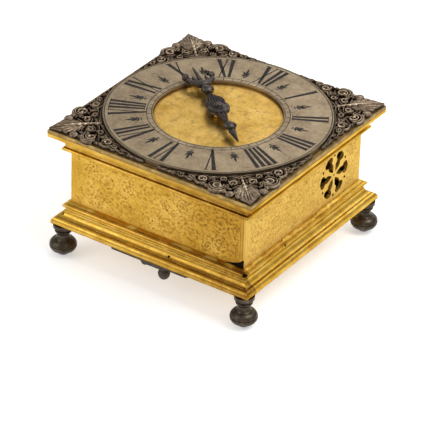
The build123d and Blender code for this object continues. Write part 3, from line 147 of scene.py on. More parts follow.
HALF_ROUND = ((-1, 0), (-1, 0.5), (-0.8, 0.8), (-0.35, 0.97), (0.35, 0.97), (0.8, 0.8), (1, 0.5), (1, 0))
RIDGE = ((-1, -0.6), (-0.5, 0.7), (0.5, 0.7), (1, -0.6))


def make(name, shape, slot, replaces=(), angle=38, bevel=0.0, body="case", material=None):
    """Makes a visual piece of a shape, which rides on a body and stands for the nodes that it replaces."""
    mesh = bpy.data.meshes.new(name)
    mesh.from_pydata([(x * MM, y * MM, z * MM) for x, y, z in shape.points], [], shape.faces)
    work = bmesh.new()
    work.from_mesh(mesh)
    bmesh.ops.recalc_face_normals(work, faces=work.faces)
    work.to_mesh(mesh)
    work.free()
    mesh.shade_smooth()
    mesh.set_sharp_from_angle(angle=radians(angle))
    mesh.materials.append(material or SLOT_FINISH[slot])
    piece = bpy.data.objects.new(name, mesh)
    bpy.context.scene.collection.objects.link(piece)
    if bevel:
        soften = piece.modifiers.new("soften", "BEVEL")
        soften.width = bevel * MM
        soften.segments = 2
        soften.limit_method = "ANGLE"
        soften.angle_limit = radians(35)
    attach(piece, body)
    if replaces:
        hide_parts(*replaces)


# Materials, in linear colours

GOLD = (0.66, 0.405, 0.068)
GOLD_PALE = (0.79, 0.52, 0.125)
GOLD_DEEP = (0.53, 0.295, 0.038)
GOLD_WORN_AND_SHADED = (0.40, 0.20, 0.025)
GOLD_EDGE = (1.0, 0.80, 0.40, 1)
DARK_BROWN = (0.060, 0.026, 0.006)


class Finish:
    """A node material that gathers its colour and relief, with short calls for what the metals here need."""

    def __init__(self, name, metallic=1.0, roughness=0.4, gilded=False):
        self.material = bpy.data.materials.new(name)
        self.material.use_nodes = True
        self.tree = self.material.node_tree
        self.shader = self.tree.nodes["Principled BSDF"].inputs
        self.shader["Metallic"].default_value = metallic
        self.shader["Roughness"].default_value = roughness
        if gilded:
            self.shader["Specular Tint"].default_value = GOLD_EDGE
        self.place = self.node("ShaderNodeTexCoord")["Object"]
        self.colour = None
        self.normal = None

    def put(self, socket, value):
        if isinstance(value, bpy.types.NodeSocket):
            self.tree.links.new(value, socket)
        elif socket.type == "RGBA":
            socket.default_value = (*value, 1)
        else:
            socket.default_value = value

    def node(self, kind, inputs=(), **settings):
        """Outputs of a new node, once its settings are made and its inputs are linked or set."""
        node = self.tree.nodes.new(kind)
        for name, value in settings.items():
            setattr(node, name, value)
        for key, value in dict(inputs).items():
            self.put(node.inputs[key], value)
        return node.outputs

    def noise(self, size, detail=3.0, rough=0.55, stretch=None, twist=0.0):
        """Noise whose features are about size millimetres across."""
        place = self.place
        if stretch:
            place = self.node("ShaderNodeMapping", {"Vector": place, "Scale": stretch})["Vector"]
        return self.node("ShaderNodeTexNoise", {"Vector": place, "Scale": 1 / (size * MM), "Detail": detail,
                                                "Roughness": rough, "Distortion": twist})["Fac"]

    def ramp(self, value, *stops):
        """Grey or colour ramp; each stop is (position, grey or colour)."""
        node = self.tree.nodes.new("ShaderNodeValToRGB")
        self.put(node.inputs["Fac"], value)
        elements = node.color_ramp.elements
        while len(elements) < len(stops):
            elements.new(0.5)
        for element, (position, colour) in zip(elements, stops):
            element.position = position
            element.color = (*colour, 1) if isinstance(colour, tuple) else (colour, colour, colour, 1)
        return node.outputs["Color"]

    def math(self, operation, first, second=0.0):
        return self.node("ShaderNodeMath", {0: first, 1: second}, operation=operation)[0]

    def span(self, value, low, high, to_low=0.0, to_high=1.0):
        """Spreads what a value does between low and high over to_low to to_high."""
        return self.node("ShaderNodeMapRange", {"Value": value, "From Min": low, "From Max": high,
                                                "To Min": to_low, "To Max": to_high})["Result"]

    def axis(self, which):
        """Place along x, y or z, in millimetres."""
        return self.math("MULTIPLY", self.node("ShaderNodeSeparateXYZ", {0: self.place})[which], 1 / MM)

    def from_middle(self):
        """Distance from the upright line through the dial's middle, in millimetres."""
        x, y = self.axis(0), self.axis(1)
        return self.math("SQRT", self.math("ADD", self.math("MULTIPLY", x, x), self.math("MULTIPLY", y, y)))

    def shade_towards_right(self, low, high):
        """Share of painted shade along the front of the case: nought to one from low to high, and nought on its other
        sides.
        """
        front = self.span(self.axis(1), -CASE_HALF + 0.8, -CASE_HALF + 0.4)
        return self.math("MULTIPLY", self.span(self.axis(0), low, high), front)

    def spot(self, centre, radius):
        """One inside a small ball round a point in millimetres, nought outside it."""
        away = self.node("ShaderNodeVectorMath", {0: self.place, 1: [MM * value for value in centre]},
                         operation="DISTANCE")["Value"]
        return self.span(away, radius * 0.75 * MM, radius * MM, 1, 0)

    def lines(self, levels, half_width):
        """One on thin level lines round the case, nought between them."""
        up = self.axis(2)
        total = None
        for level in levels:
            away = self.math("ABSOLUTE", self.math("SUBTRACT", up, level))
            near = self.span(away, half_width * 0.35, half_width, 1, 0)
            total = near if total is None else self.math("MAXIMUM", total, near)
        return total

    def patches(self, noise, *stops):
        """The first colour, in patches; noise is what the call of that name takes."""
        self.colour = self.ramp(self.noise(*noise), *stops)

    def tint(self, share, colour):
        """Lays a colour over the one gathered so far."""
        self.colour = self.node("ShaderNodeMix", {"Factor": share, 6: self.colour, 7: colour}, data_type="RGBA")[2]

    def flecks(self, noise, low, high, most, colour):
        """Lays a colour where noise rises from low to high, at most by the share most."""
        self.tint(self.span(self.noise(*noise), low, high, 0, most), colour)

    def broken(self, where, noise, low, high, least, most, colour):
        """Lays a colour on one place, where noise lets between the shares least and most of it through."""
        self.tint(self.math("MULTIPLY", where, self.span(self.noise(*noise), low, high, least, most)), colour)

    def lit_right_side(self, share, colour):
        """Lays a paler colour on the right wall alone, as painted light on that side."""
        self.tint(self.span(self.axis(0), CASE_HALF - 0.8, CASE_HALF - 0.4, 0, share), colour)

    def shade_hollows(self, reach, low, high, most, hollow_shade=DARK_BROWN):
        """Lays painted shade in corners that are about reach millimetres deep, where ambient occlusion finds them
        closed in.
        """
        openness = self.node("ShaderNodeAmbientOcclusion", {"Distance": reach * MM}, samples=8)["AO"]
        self.tint(self.span(openness, low, high, most, 0), hollow_shade)

    def bump(self, height, depth, strength):
        """Relief of depth millimetres, over what relief there is."""
        inputs = {"Height": height, "Distance": depth * MM, "Strength": strength}
        if self.normal is not None:
            inputs["Normal"] = self.normal
        self.normal = self.node("ShaderNodeBump", inputs)["Normal"]
        self.put(self.shader["Normal"], self.normal)

    def finish(self, size, smooth, rough, detail=3.0):
        """Ends the material with a roughness that wanders between two values over size millimetres."""
        self.put(self.shader["Base Color"], self.colour)
        self.put(self.shader["Roughness"], self.span(self.noise(size, detail), 0.3, 0.7, smooth, rough))
        return self.material


def gilt_wall():
    look = Finish("gilt_wall", gilded=True)
    look.patches((16, 4), (0.32, GOLD_DEEP), (0.5, GOLD), (0.7, GOLD_PALE))
    fine = look.noise(0.9, 4, 0.7)
    look.tint(look.span(fine, 0.52, 0.72, 0, 0.55), GOLD_WORN_AND_SHADED)
    # Painted shade: the front wall is darkened in broken patches towards its right end
    look.broken(look.shade_towards_right(-10, 50), (6, 4), 0.3, 0.65, 0.25, 0.75, GOLD_WORN_AND_SHADED)
    # Painted light: the right wall is painted paler and lighter
    look.lit_right_side(0.5, (0.72, 0.52, 0.18))
    # Painted shade in the corners, darker where ambient occlusion finds them closed in
    look.shade_hollows(2.4, 0.45, 0.85, 0.9)
    look.bump(look.ramp(look.noise(1.7, 2, 0.5, twist=3.5), (0.44, 0.0), (0.5, 1.0), (0.56, 0.0)), 0.05, 0.7)
    look.bump(fine, 0.05, 0.6)
    return look.finish(5, 0.30, 0.46)


# Levels of the painted shadow lines in the corners of the mouldings, and of finer turned lines between them
MOULDING_SHADOW_LINES = [BASE_BOTTOM + up for up in (0.7, 4.25, 7.65, 8.8, 11.2)]
MOULDING_SHADOW_LINES += [WALL_TOP + up for up in (0.1, 2.15, 3.3)] + [FRAME_TOP - 2.65, FRAME_TOP - 0.15]
FINE_LINES = [BASE_BOTTOM + up for up in (2.2, 3.4, 5.6, 6.6, 9.6)]
FINE_LINES += [WALL_TOP + up for up in (4.9, 6.6, 7.6)] + [FRAME_TOP - 1.4]

# Near-black painted shade in small dents and holes of the mouldings, as (place, radius)
SHADOWED_DENTS = (((10.2, -BASE_HALF + 4.0, BASE_BOTTOM + 5.0), 0.85), ((-54.7, -BASE_HALF + 4.8, BASE_BOTTOM + 5.4), 1.25),
         ((CASE_HALF + 2.7, -CASE_HALF - 2.7, BASE_BOTTOM + 10.3), 1.7),
         ((CASE_HALF + 2.9, -20.0, BASE_BOTTOM + 10.6), 0.7))


def gilt_moulding():
    look = Finish("gilt_moulding", gilded=True)
    look.patches((9, 4), (0.30, GOLD_DEEP), (0.5, GOLD), (0.72, GOLD_PALE))
    look.flecks((2.2, 3, 0.6, (0.25, 0.25, 2.5)), 0.45, 0.66, 0.45, GOLD_WORN_AND_SHADED)
    look.flecks((1.1, 4, 0.75), 0.60, 0.72, 0.7, (0.20, 0.09, 0.012))
    # Painted shade: the front of the mouldings is darkened in broken patches towards the right
    look.broken(look.shade_towards_right(-30, 55), (5, 4), 0.3, 0.62, 0.35, 0.95, (0.26, 0.125, 0.018))
    # Painted shade in the corners, darker where ambient occlusion finds them closed in
    look.shade_hollows(1.3, 0.30, 0.75, 0.6)
    # Painted shadow lines in the corners of the mouldings, broken by noise
    look.broken(look.lines(MOULDING_SHADOW_LINES, 0.22), (5, 4), 0.32, 0.6, 0.3, 0.9, (0.05, 0.021, 0.005))
    look.broken(look.lines(FINE_LINES, 0.16), (7, 4), 0.4, 0.62, 0.05, 0.6, (0.18, 0.08, 0.01))
    look.tint(look.span(look.axis(2), FRAME_TOP - 0.9, FRAME_TOP - 0.2, 0, 0.6), (0.26, 0.155, 0.035))
    # Painted shade: near-black spots in the dents and holes
    for centre, radius in SHADOWED_DENTS:
        look.tint(look.spot(centre, radius), (0.008, 0.004, 0.002))
    look.bump(look.noise(1.6, 4, 0.6), 0.06, 0.45)
    return look.finish(3, 0.24, 0.42)


def silvered_ring():
    look = Finish("silvered_ring", 0.9)
    look.patches((9, 5, 0.6), (0.28, (0.20, 0.142, 0.085)), (0.5, (0.305, 0.228, 0.138)),
                 (0.72, (0.43, 0.335, 0.212)))
    look.flecks((0.8, 4, 0.75), 0.58, 0.74, 0.5, (0.14, 0.10, 0.06))
    look.flecks((1.5, 4, 0.7), 0.42, 0.66, 0.45, (0.52, 0.42, 0.28))
    look.tint(look.span(look.from_middle(), RING_OUTER - 1.2, RING_OUTER, 0, 0.75), (0.13, 0.09, 0.05))
    turned = look.node("ShaderNodeTexNoise", {"W": look.from_middle(), "Scale": 4.0}, noise_dimensions="1D")["Fac"]
    look.bump(turned, 0.02, 0.35)
    look.bump(look.noise(0.7, 3, 0.7), 0.03, 0.4)
    return look.finish(4, 0.36, 0.52)


def plate_metal():
    look = Finish("plate_metal", 0.85)
    look.patches((5, 4), (0.3, (0.17, 0.105, 0.032)), (0.52, (0.33, 0.215, 0.070)), (0.75, (0.52, 0.35, 0.12)))
    reach = look.math("MAXIMUM", look.math("ABSOLUTE", look.axis(0)), look.math("ABSOLUTE", look.axis(1)))
    away = look.math("ABSOLUTE", look.math("SUBTRACT", reach, PLATE_HALF - 0.9))
    look.tint(look.span(away, 0.15, 0.35, 0.85, 0), DARK_BROWN)
    # Painted shade: the plate is near black inside its margin, where it shows through the spandrels' openings
    look.tint(look.span(reach, PLATE_HALF - 3.4, PLATE_HALF - 2.4, 0.94, 0), (0.022, 0.014, 0.008))
    look.bump(look.noise(1.0, 4, 0.65), 0.04, 0.5)
    return look.finish(4, 0.34, 0.55)


def matted_disc():
    look = Finish("matted_disc", gilded=True)
    look.patches((10, 5, 0.65), (0.30, (0.52, 0.31, 0.070)), (0.47, (0.68, 0.44, 0.125)), (0.68, (0.79, 0.54, 0.180)))
    look.flecks((4.5, 5, 0.7), 0.52, 0.66, 0.8, (0.40, 0.27, 0.11))
    look.flecks((1.1, 4, 0.7), 0.54, 0.68, 0.65, (0.34, 0.19, 0.05))
    look.flecks((1.6, 3, 0.6, (1.0, 0.3, 1.0), 1.2), 0.58, 0.70, 0.4, (0.30, 0.16, 0.05))
    # Painted shade round the disc's rim, where it sits below the ring
    look.tint(look.span(look.from_middle(), DISC_RADIUS - 1.6, DISC_RADIUS, 0, 0.8), (0.28, 0.13, 0.02))
    stipple = look.node("ShaderNodeTexVoronoi", {"Vector": look.place, "Scale": 1 / (0.45 * MM)})["Distance"]
    look.bump(stipple, 0.05, 0.35)
    scratches = look.noise(0.6, 2, 0.5, (1.0, 0.2, 1.0), 0.8)
    look.bump(look.math("ADD", scratches, look.noise(1.4, 4, 0.7)), 0.05, 0.45)
    return look.finish(3, 0.32, 0.5, detail=4)


def cast_silver():
    look = Finish("cast_silver", 0.9)
    # Painted light: the casting is coloured lighter the higher it stands, a painted highlight on its tops and painted
    # shade low down
    level = look.span(look.axis(2), PLATE_TOP, PLATE_TOP + 2.3)
    height_light = look.math("ADD", level, look.span(look.noise(1.6, 4), 0.2, 0.8, -0.28, 0.28))
    look.colour = look.ramp(height_light, (0.10, (0.026, 0.018, 0.011)), (0.45, (0.140, 0.098, 0.065)),
                            (0.78, (0.325, 0.240, 0.163)), (1.0, (0.66, 0.52, 0.36)))
    # Painted shade in the casting's hollows
    look.shade_hollows(1.2, 0.35, 0.85, 0.9, (0.018, 0.012, 0.008))
    look.bump(look.noise(0.6, 4, 0.65), 0.08, 0.5)
    return look.finish(2, 0.30, 0.48)


def engraved_gold():
    look = Finish("engraved_gold", gilded=True)
    look.patches((2.5, 4), (0.32, (0.44, 0.235, 0.032)), (0.52, (0.55, 0.310, 0.045)), (0.72, (0.70, 0.430, 0.075)))
    # Painted light: the lines on the right wall are painted paler and lighter
    look.lit_right_side(0.6, (0.62, 0.43, 0.13))
    # Painted shade: the lines on the front are darkened towards its right end
    look.tint(look.shade_towards_right(-5, 48), (0.23, 0.115, 0.018))
    look.bump(look.noise(0.5, 3), 0.03, 0.4)
    return look.finish(1.5, 0.34, 0.5)


def plain(name, noise, stops, grain, depth, strength, polish, metallic=1.0, roughness=0.4, hollow_shade=None, specular=None):
    """One metal or filling: patches of colour, painted shade in its hollows, fine relief and a polish."""
    look = Finish(name, metallic, roughness)
    if specular is not None:
        look.shader["Specular IOR Level"].default_value = specular
    look.patches(noise, *stops)
    # Painted shade in the hollows
    if hollow_shade:
        look.shade_hollows(*hollow_shade)
    look.bump(look.noise(*grain), depth, strength)
    return look.finish(*polish)


def works_brass(name, stretch, deep, bright):
    return plain(name, (7, 4), ((0.3, deep), (0.55, bright), (0.8, (0.74, 0.54, 0.23))), (0.5, 3, 0.6, stretch),
                 # The last argument is painted shade in the hollows of the works
                 0.02, 0.4, (2, 0.24, 0.42), hollow_shade=(2.5, 0.3, 0.85, 0.75, (0.17, 0.10, 0.04)))


SLOT_FINISH = {
    "gilt_case": gilt_wall(),
    "gilt_moulding": gilt_moulding(),
    "dial_plate_metal": plate_metal(),
    "ring_silvered": silvered_ring(),
    "centre_gilt": matted_disc(),
    "spandrel_metal": cast_silver(),
    "movement_brass": works_brass("works_brass", (1.0, 0.12, 1.0), (0.44, 0.27, 0.075), (0.64, 0.44, 0.16)),
    "cover_brass": works_brass("cover_brass", (0.1, 1.0, 1.0), (0.38, 0.22, 0.055), (0.56, 0.37, 0.12)),
    "movement_steel": plain("works_steel", (3, 4), ((0.3, (0.26, 0.235, 0.215)), (0.7, (0.52, 0.50, 0.47))),
                            (0.5, 3, 0.6, (1, 1, 0.1)), 0.02, 0.35, (2, 0.2, 0.38)),
    "hand_steel": plain("dark_steel", (3, 5, 0.65), ((0.32, (0.030, 0.023, 0.020)), (0.6, (0.098, 0.080, 0.071)),
                                                     (0.78, (0.19, 0.145, 0.112))),
                        (0.7, 4, 0.65), 0.06, 0.5, (1.6, 0.28, 0.5), metallic=0.9),
    "foot_bronze": plain("old_bronze", (4, 5, 0.65), ((0.30, (0.024, 0.016, 0.011)), (0.52, (0.066, 0.050, 0.034)),
                                                      (0.75, (0.135, 0.105, 0.072))),
                         (0.9, 4, 0.65), 0.06, 0.5, (2.5, 0.28, 0.48), metallic=0.85,
                         # The last argument is painted shade in the hollows of the feet
                         hollow_shade=(2.0, 0.4, 0.9, 0.8, (0.02, 0.012, 0.008))),
    "underside_iron": plain("iron", (3, 5, 0.7), ((0.3, (0.030, 0.024, 0.020)), (0.6, (0.09, 0.072, 0.058)),
                                                  (0.8, (0.16, 0.105, 0.070))),
                            (0.7, 5, 0.7), 0.12, 0.7, (2, 0.5, 0.75), metallic=0.6),
    "bell_bronze": plain("bell_metal", (6, 5, 0.6), ((0.3, (0.09, 0.092, 0.068)), (0.55, (0.20, 0.200, 0.140)),
                                                     (0.78, (0.34, 0.285, 0.175))),
                         (0.8, 4, 0.6), 0.04, 0.4, (3, 0.3, 0.5), metallic=0.9),
    "gut": plain("gut_line", (1.5, 3), ((0.3, (0.36, 0.21, 0.09)), (0.7, (0.62, 0.45, 0.24))),
                 (0.25, 2, 0.5, (1, 1, 3)), 0.08, 0.6, (0.8, 0.4, 0.6), metallic=0.0, roughness=0.5),
}
ENGRAVED = engraved_gold()
DIAL_BLACK = plain("dial_black", (1.2, 4), ((0.3, (0.008, 0.007, 0.007)), (0.75, (0.040, 0.032, 0.030))),
                   (0.4, 2), 0.02, 0.4, (2, 0.45, 0.65), metallic=0.0, roughness=0.5, specular=0.15)
# Near-black material for the piece that stands for the shade in the gap behind the worn corner: painted shade
GAP_SHADOW = plain("gap_shadow_black", (1.0, 4), ((0.3, (0.002, 0.001, 0.001)), (0.75, (0.012, 0.006, 0.002))),
             (0.6, 3), 0.1, 0.5, (1.5, 0.7, 0.9), metallic=0.0, roughness=0.8, specular=0.1)

for part in frame["record"]["subparts"]:
    for slot in nodes[part["node"]].material_slots:
        slot.material = SLOT_FINISH[part["material_slot"]]


# Dial: numerals, half-hour marks and lines, as thin black filling a hair above the ring

INK_LOW, INK_HIGH = RING_TOP - 0.04, RING_TOP + 0.02
NUMERAL_INNER, NUMERAL_OUTER = 36.6, 54.4
NUMERAL_MIDDLE = 46.0
THICK, THIN = 0.90, 0.33
NUMERALS = ("XII", "I", "II", "III", "IIII", "V", "VI", "VII", "VIII", "IX", "X", "XI")
# Each letter's width, its strokes as (foot, how far the foot drops, head, half width), and its serifs as
# (place, level, half width)
LETTERS = {
    "I": (2.75, ((0, 0, 0, THICK),), ((0, NUMERAL_INNER, 1.25), (0, NUMERAL_OUTER, 1.25))),
    "V": (5.6, ((0.15, 0.9, -1.7, THICK), (-0.1, 0.9, 1.7, THIN)),
          ((-1.7, NUMERAL_OUTER, 1.35), (1.7, NUMERAL_OUTER, 1.0))),
    "X": (6.0, ((1.9, 0, -1.9, THICK), (-1.9, 0, 1.9, THIN)),
          ((1.9, NUMERAL_INNER, 1.3), (-1.9, NUMERAL_INNER, 1.0), (-1.9, NUMERAL_OUTER, 1.3),
           (1.9, NUMERAL_OUTER, 1.0))),
}
RING_LINES = ((56.25, 0.22), (35.5, 0.19), (32.95, 0.19))
TICKS, TICKS_BETWEEN_HOURS = 48, 4


def on_ring(turn):
    """Places a numeral's (across, out) at an angle in degrees clockwise from twelve."""
    def place(across, out, level):
        return *around((0, 0), out, 90 - turn - degrees(across / NUMERAL_MIDDLE)), level
    return place


def stroke(shape, start, end, half_width, place, top=INK_HIGH):
    """Straight stroke from (across, out) to (across, out), with ends cut along the ring."""
    (near, low), (far, high) = start, end
    shape.slab([(near - half_width, low), (near + half_width, low), (far + half_width, high),
                (far - half_width, high)], INK_LOW, top, place)


def numeral(shape, text, turn):
    place = on_ring(turn)
    cursor = -sum(LETTERS[letter][0] for letter in text) / 2
    for letter in text:
        width, strokes, serifs = LETTERS[letter]
        middle = cursor + width / 2
        cursor += width
        for foot, drop, head, half_width in strokes:
            stroke(shape, (middle + foot, NUMERAL_INNER - drop), (middle + head, NUMERAL_OUTER), half_width, place)
        for across, level, half_width in serifs:
            across += middle
            stroke(shape, (across, level - 0.2), (across, level + 0.2), half_width, place, INK_HIGH + 0.005)


def bent_path(start, turn, length, bend, steps):
    """Path that sets out at turn degrees from straight out and bends evenly."""
    path = [start]
    for k in range(steps):
        path.append(around(path[-1], length / steps, 90 - turn - bend * k / steps))
    return path


def leaf_outline(start, turn, length, half_width, bend=0.0, steps=7):
    """Closed outline of a pointed leaf; turn is in degrees from straight out, bend curls its tip."""
    left, right = [], []
    for k, point in enumerate(bent_path(start, turn, length, bend, steps)):
        fullness = min(1.0, 0.96 * k / steps + 0.04)
        width = half_width * (sin(pi * fullness ** 0.75) ** 0.8 if 0 < k < steps else 0.04)
        ahead = 90 - turn - bend * k / steps
        left.append(around(point, width, ahead + 90))
        right.append(around(point, width, ahead - 90))
    return left + right[::-1]


def half_hour(shape, turn):
    place = on_ring(turn)
    stroke(shape, (0, 37.9), (0, 41.5), 0.16, place)
    shape.slab(leaf_outline((0, 40.9), 0, 6.4, 0.72), INK_LOW, INK_HIGH, place)
    for side in (-1, 1):
        for across, out, lean, length, half_width, bend, lift in (
                (0.15, 40.5, 32, 4.1, 0.62, -16, 0.004), (0.1, 39.6, 62, 2.8, 0.52, -22, 0.008),
                (0, 38.5, 85, 1.5, 0.3, 0, 0.004)):
            leaf = leaf_outline((side * across, out), side * lean, length, half_width, side * bend)
            shape.slab(leaf, INK_LOW, INK_HIGH + lift, place)


def make_dial():
    ink = Shape()
    for hour, text in enumerate(NUMERALS):
        numeral(ink, text, 30 * hour)
        half_hour(ink, 30 * hour + 15)
    make("numerals", ink, "ring_silvered", angle=20, material=DIAL_BLACK)
    lines = Shape()
    for radius, half_width in RING_LINES:
        inner, outer, top = radius - half_width, radius + half_width, INK_HIGH - 0.005
        lines.revolved_ring([(inner, INK_LOW), (outer, INK_LOW), (outer, top), (inner, top)], sides=240)
    for tick in range(TICKS):
        half_width = 0.17 if tick % TICKS_BETWEEN_HOURS else 0.25
        stroke(lines, (0, RING_LINES[2][0]), (0, RING_LINES[1][0]), half_width, on_ring(360 / TICKS * tick))
    make("dial_lines", lines, "ring_silvered", angle=20, material=DIAL_BLACK)


# Spandrels: cast scrollwork in relief, drawn in (across, out) along one diagonal and turned to each corner

def spiral(centre, radius, inner_radius, start, turns, hand, steps=30):
    """Points of a spiral from its outer end inwards; start in degrees, hand is 1 for anticlockwise."""
    return [around(centre, radius + (inner_radius - radius) * share ** 0.85, start + hand * 360 * turns * share)
            for share in (k / steps for k in range(steps + 1))]


def taper(path, first, middle, last):
    """A value for each point of a path: first at its start, middle half way, last at its end."""
    return [first + (middle - first) * share * 2 if share < 0.5 else middle + (last - middle) * (2 * share - 1)
            for share in (k / (len(path) - 1) for k in range(len(path)))]


def part_way(start, end, share):
    return start[0] + share * (end[0] - start[0]), start[1] + share * (end[1] - start[1])


def degrees_of(start, end):
    return degrees(atan2(end[1] - start[1], end[0] - start[0]))


def curve(start, bend, end, steps=10):
    """Smooth bow from start to end that leans towards bend."""
    return [tuple((1 - t) ** 2 * a + 2 * t * (1 - t) * b + t * t * c for a, b, c in zip(start, bend, end))
            for t in (k / steps for k in range(steps + 1))]


def scaled(size, shares):
    return [size * share for share in shares]


def dome(shape, at, radius, base, height, sides=12):
    """Round boss with a short upright wall."""
    angles = [radians(15 * k) for k in range(6)]
    profile = [(radius * cos(a), base + height * (0.45 + 0.55 * sin(a))) for a in angles]
    shape.turned([(radius, base)] + profile + [(0, base + height)], at, sides)


class Casting(Shape):
    """Relief that is drawn on one side of the diagonal and mirrored to the other."""

    def __init__(self, base):
        super().__init__()
        self.base = base

    def both(self, path, widths, heights):
        for side in (-1, 1):
            self.strip([(side * x, y) for x, y in path], widths, self.base, heights, HALF_ROUND)

    def vine(self, path, width, height, end=0.35):
        self.both(path, taper(path, width, width, width * end), taper(path, height, height, height * 0.72))

    def lobe(self, centre, radius, first, last, width, height):
        """Arc from one turn to another in degrees, full in its middle and thin at its ends."""
        path = [around(centre, radius, first + (last - first) * k / 16) for k in range(17)]
        self.both(path, [width * (0.4 + 0.6 * sin(pi * (k + 1) / 17)) for k in range(17)], [height] * 17)

    def scroll(self, centre, radius, start, turns, hand, width, height, eye):
        """Open curl that ends in a small ball; eye is the ball's share of the radius."""
        path = spiral(centre, radius - width, radius * 0.36, start, 0.72 * turns, hand)
        widths = taper(path, width * 0.8, width * 1.15, width * 0.8)
        self.both(path, widths, taper(path, height, height, height * 0.85))
        for side in (-1, 1):
            dome(self, (side * path[-1][0], path[-1][1]), radius * eye, self.base, height * 1.05)

    def leaf(self, at, turn, length, half_width, height, bend=0.0):
        """Small cupped leaf with a raised rib; turn in degrees from straight out, towards the tail."""
        path = bent_path(at, turn, length, bend, 8)
        widths = scaled(half_width, (0.35, 0.7, 0.95, 1.0, 0.95, 0.8, 0.6, 0.36, 0.1))
        self.both(path, widths, scaled(height, (1.0, 0.95, 0.9, 0.9, 0.92, 0.95, 0.95, 0.85, 0.7)))
        self.both(path, [0.2 * width + 0.05 for width in widths],
                  scaled(height, (1.15, 1.15, 1.14, 1.14, 1.13, 1.12, 1.08, 0.98, 0.8)))


def tail_lobe(across):
    """Centre and radius of the circle between the ring and the plate's edge, so far along the tail."""
    edge = PLATE_HALF * sqrt(2) - 2.5 - across
    ring = RING_OUTER + 0.3
    total = sqrt(2) * edge + ring
    radius = total - sqrt(total ** 2 - (across ** 2 + edge ** 2 - ring ** 2))
    return (across, edge - sqrt(2) * radius), radius


HALF_SHELL = ((1.2, 66.2), (3.6, 68.4), (5.6, 71.0), (6.3, 73.4), (5.6, 74.6), (6.3, 76.2), (5.4, 77.7), (4.2, 78.2),
              (3.9, 79.6), (2.7, 80.6), (1.5, 82.2))
SHELL_RIBS = (((1.5, 82.0), 0.9), ((3.6, 79.2), 1.0), ((5.4, 76.9), 1.15), ((5.6, 73.6), 1.1), ((4.5, 70.6), 0.9))
# Bosses on the diagonal as (out, radius, height), and curls as what the call of scroll takes
BOSSES = ((72.6, 0.8, 2.6), (69.3, 1.3, 2.6), (66.3, 1.0, 2.4), (63.4, 0.8, 2.2), (60.4, 1.0, 2.1))
CURLS = (((12.5, 65.4), 3.5, 170, 1.5, -1, 0.5, 2.15, 0.3), ((4.5, 65.0), 2.7, 60, 1.5, -1, 0.42, 2.1, 0.26),
         ((8.9, 60.3), 2.35, 110, 1.4, 1, 0.4, 1.9, 0.26), ((13.6, 59.1), 1.75, 30, 1.3, -1, 0.34, 1.8, 0.26),
         ((8.2, 67.4), 1.5, 240, 1.2, 1, 0.34, 1.9, 0.3))
TENDRILS = (((2.4, 67.2), (5.0, 69.4), (6.9, 69.0)), ((6.7, 70.2), (9.0, 69.2), (9.6, 66.8)),
            ((0.6, 61.5), (3.2, 58.6), (6.6, 61.2)), ((0.5, 59.4), (3.0, 58.2), (6.6, 58.3)),
            ((6.8, 62.6), (6.2, 65.0), (7.4, 66.0)), ((11.4, 61.6), (14.6, 61.6), (16.6, 62.6)),
            ((2.6, 62.9), (4.2, 61.6), (6.6, 62.4)), ((15.2, 57.9), (12.0, 57.6), (10.4, 58.5)),
            ((11.9, 70.5), (14.6, 70.4), (16.2, 67.4)))
# Leaves as (place, turn, length, half width, bend)
LEAVES = (((3.4, 70.0), 62, 2.6, 0.5, -30), ((1.1, 64.9), 96, 2.2, 0.5, 50), ((1.4, 62.6), 50, 1.9, 0.45, 40),
          ((10.6, 62.2), 10, 2.0, 0.45, 60), ((6.4, 63.4), 10, 1.9, 0.42, 40), ((3.4, 60.2), 30, 1.9, 0.42, 60),
          ((11.2, 58.6), 118, 2.0, 0.42, -30), ((16.3, 64.4), 70, 2.3, 0.5, 30), ((17.0, 60.4), 50, 1.9, 0.42, 40),
          ((15.3, 60.5), 140, 1.9, 0.42, 30))
TAIL_SCROLLS = (18.8, 23.4, 27.6, 31.2, 34.2)


def make_spandrels():
    casting = Casting(PLATE_TOP - 0.02)
    out = casting.base
    shell = [(-1.2, 66.2), *HALF_SHELL, (0, 84.2)] + [(-x, y) for x, y in reversed(HALF_SHELL[1:])]
    casting.slab(shell, out, out + 1.3)
    for tip, width in SHELL_RIBS:
        rib = curve((0.3, 67.8), (0.5 * tip[0] + 0.4, 0.5 * tip[1] + 34.5), tip, 12)
        widths = [0.3 + (width - 0.3) * sin(pi * (0.12 + 0.62 * k / 12)) for k in range(12)] + [0.35]
        casting.both(rib, widths, [1.55 + 0.4 * sin(pi * k / 12) for k in range(12)] + [1.15])
        casting.both(rib, [0.16] * 13, [1.75 + 0.42 * sin(pi * k / 12) for k in range(12)] + [1.2])
    spine = [(0, 57.9 + 25.8 * k / 24) for k in range(25)]
    casting.strip(spine, [0.34 + 0.30 * sin(pi * k / 24) ** 2 for k in range(25)], out,
                  [1.8 + 0.6 * sin(pi * min(1, k / 22)) for k in range(25)], HALF_ROUND)
    for along, radius, height in BOSSES:
        dome(casting, (0, along), radius, out, height)
    for side in (-1, 1):
        dome(casting, (side * 8.0, 73.1), 2.2, out, 1.75, 20)
        dome(casting, (side * 10.4, 70.6), 1.3, out, 1.6, 16)
    casting.lobe((8.0, 73.1), 2.0, -60, 170, 0.6, 1.5)
    casting.lobe((12.5, 65.5), 4.9, 5, 130, 0.85, 1.75)
    casting.lobe((12.5, 65.5), 3.9, -20, 150, 0.4, 2.1)
    for curl in CURLS:
        casting.scroll(*curl)
    for start, bend, end in TENDRILS:
        casting.vine(curve(start, bend, end), 0.34, 1.85, 0.7)
    for at, turn, length, half_width, bend in LEAVES:
        casting.leaf(at, turn, length, half_width, 1.7, bend)
    make_tail(casting)
    for index, corner_name in enumerate(("back_right", "back_left", "front_left", "front_right")):
        turn = radians(90 * index - 45)
        corner = Shape()
        corner.points = [(x * cos(turn) - y * sin(turn), x * sin(turn) + y * cos(turn), z)
                         for x, y, z in casting.points]
        corner.faces = casting.faces
        make("casting_" + corner_name, corner, "spandrel_metal", ("spandrel_" + corner_name,), angle=50)


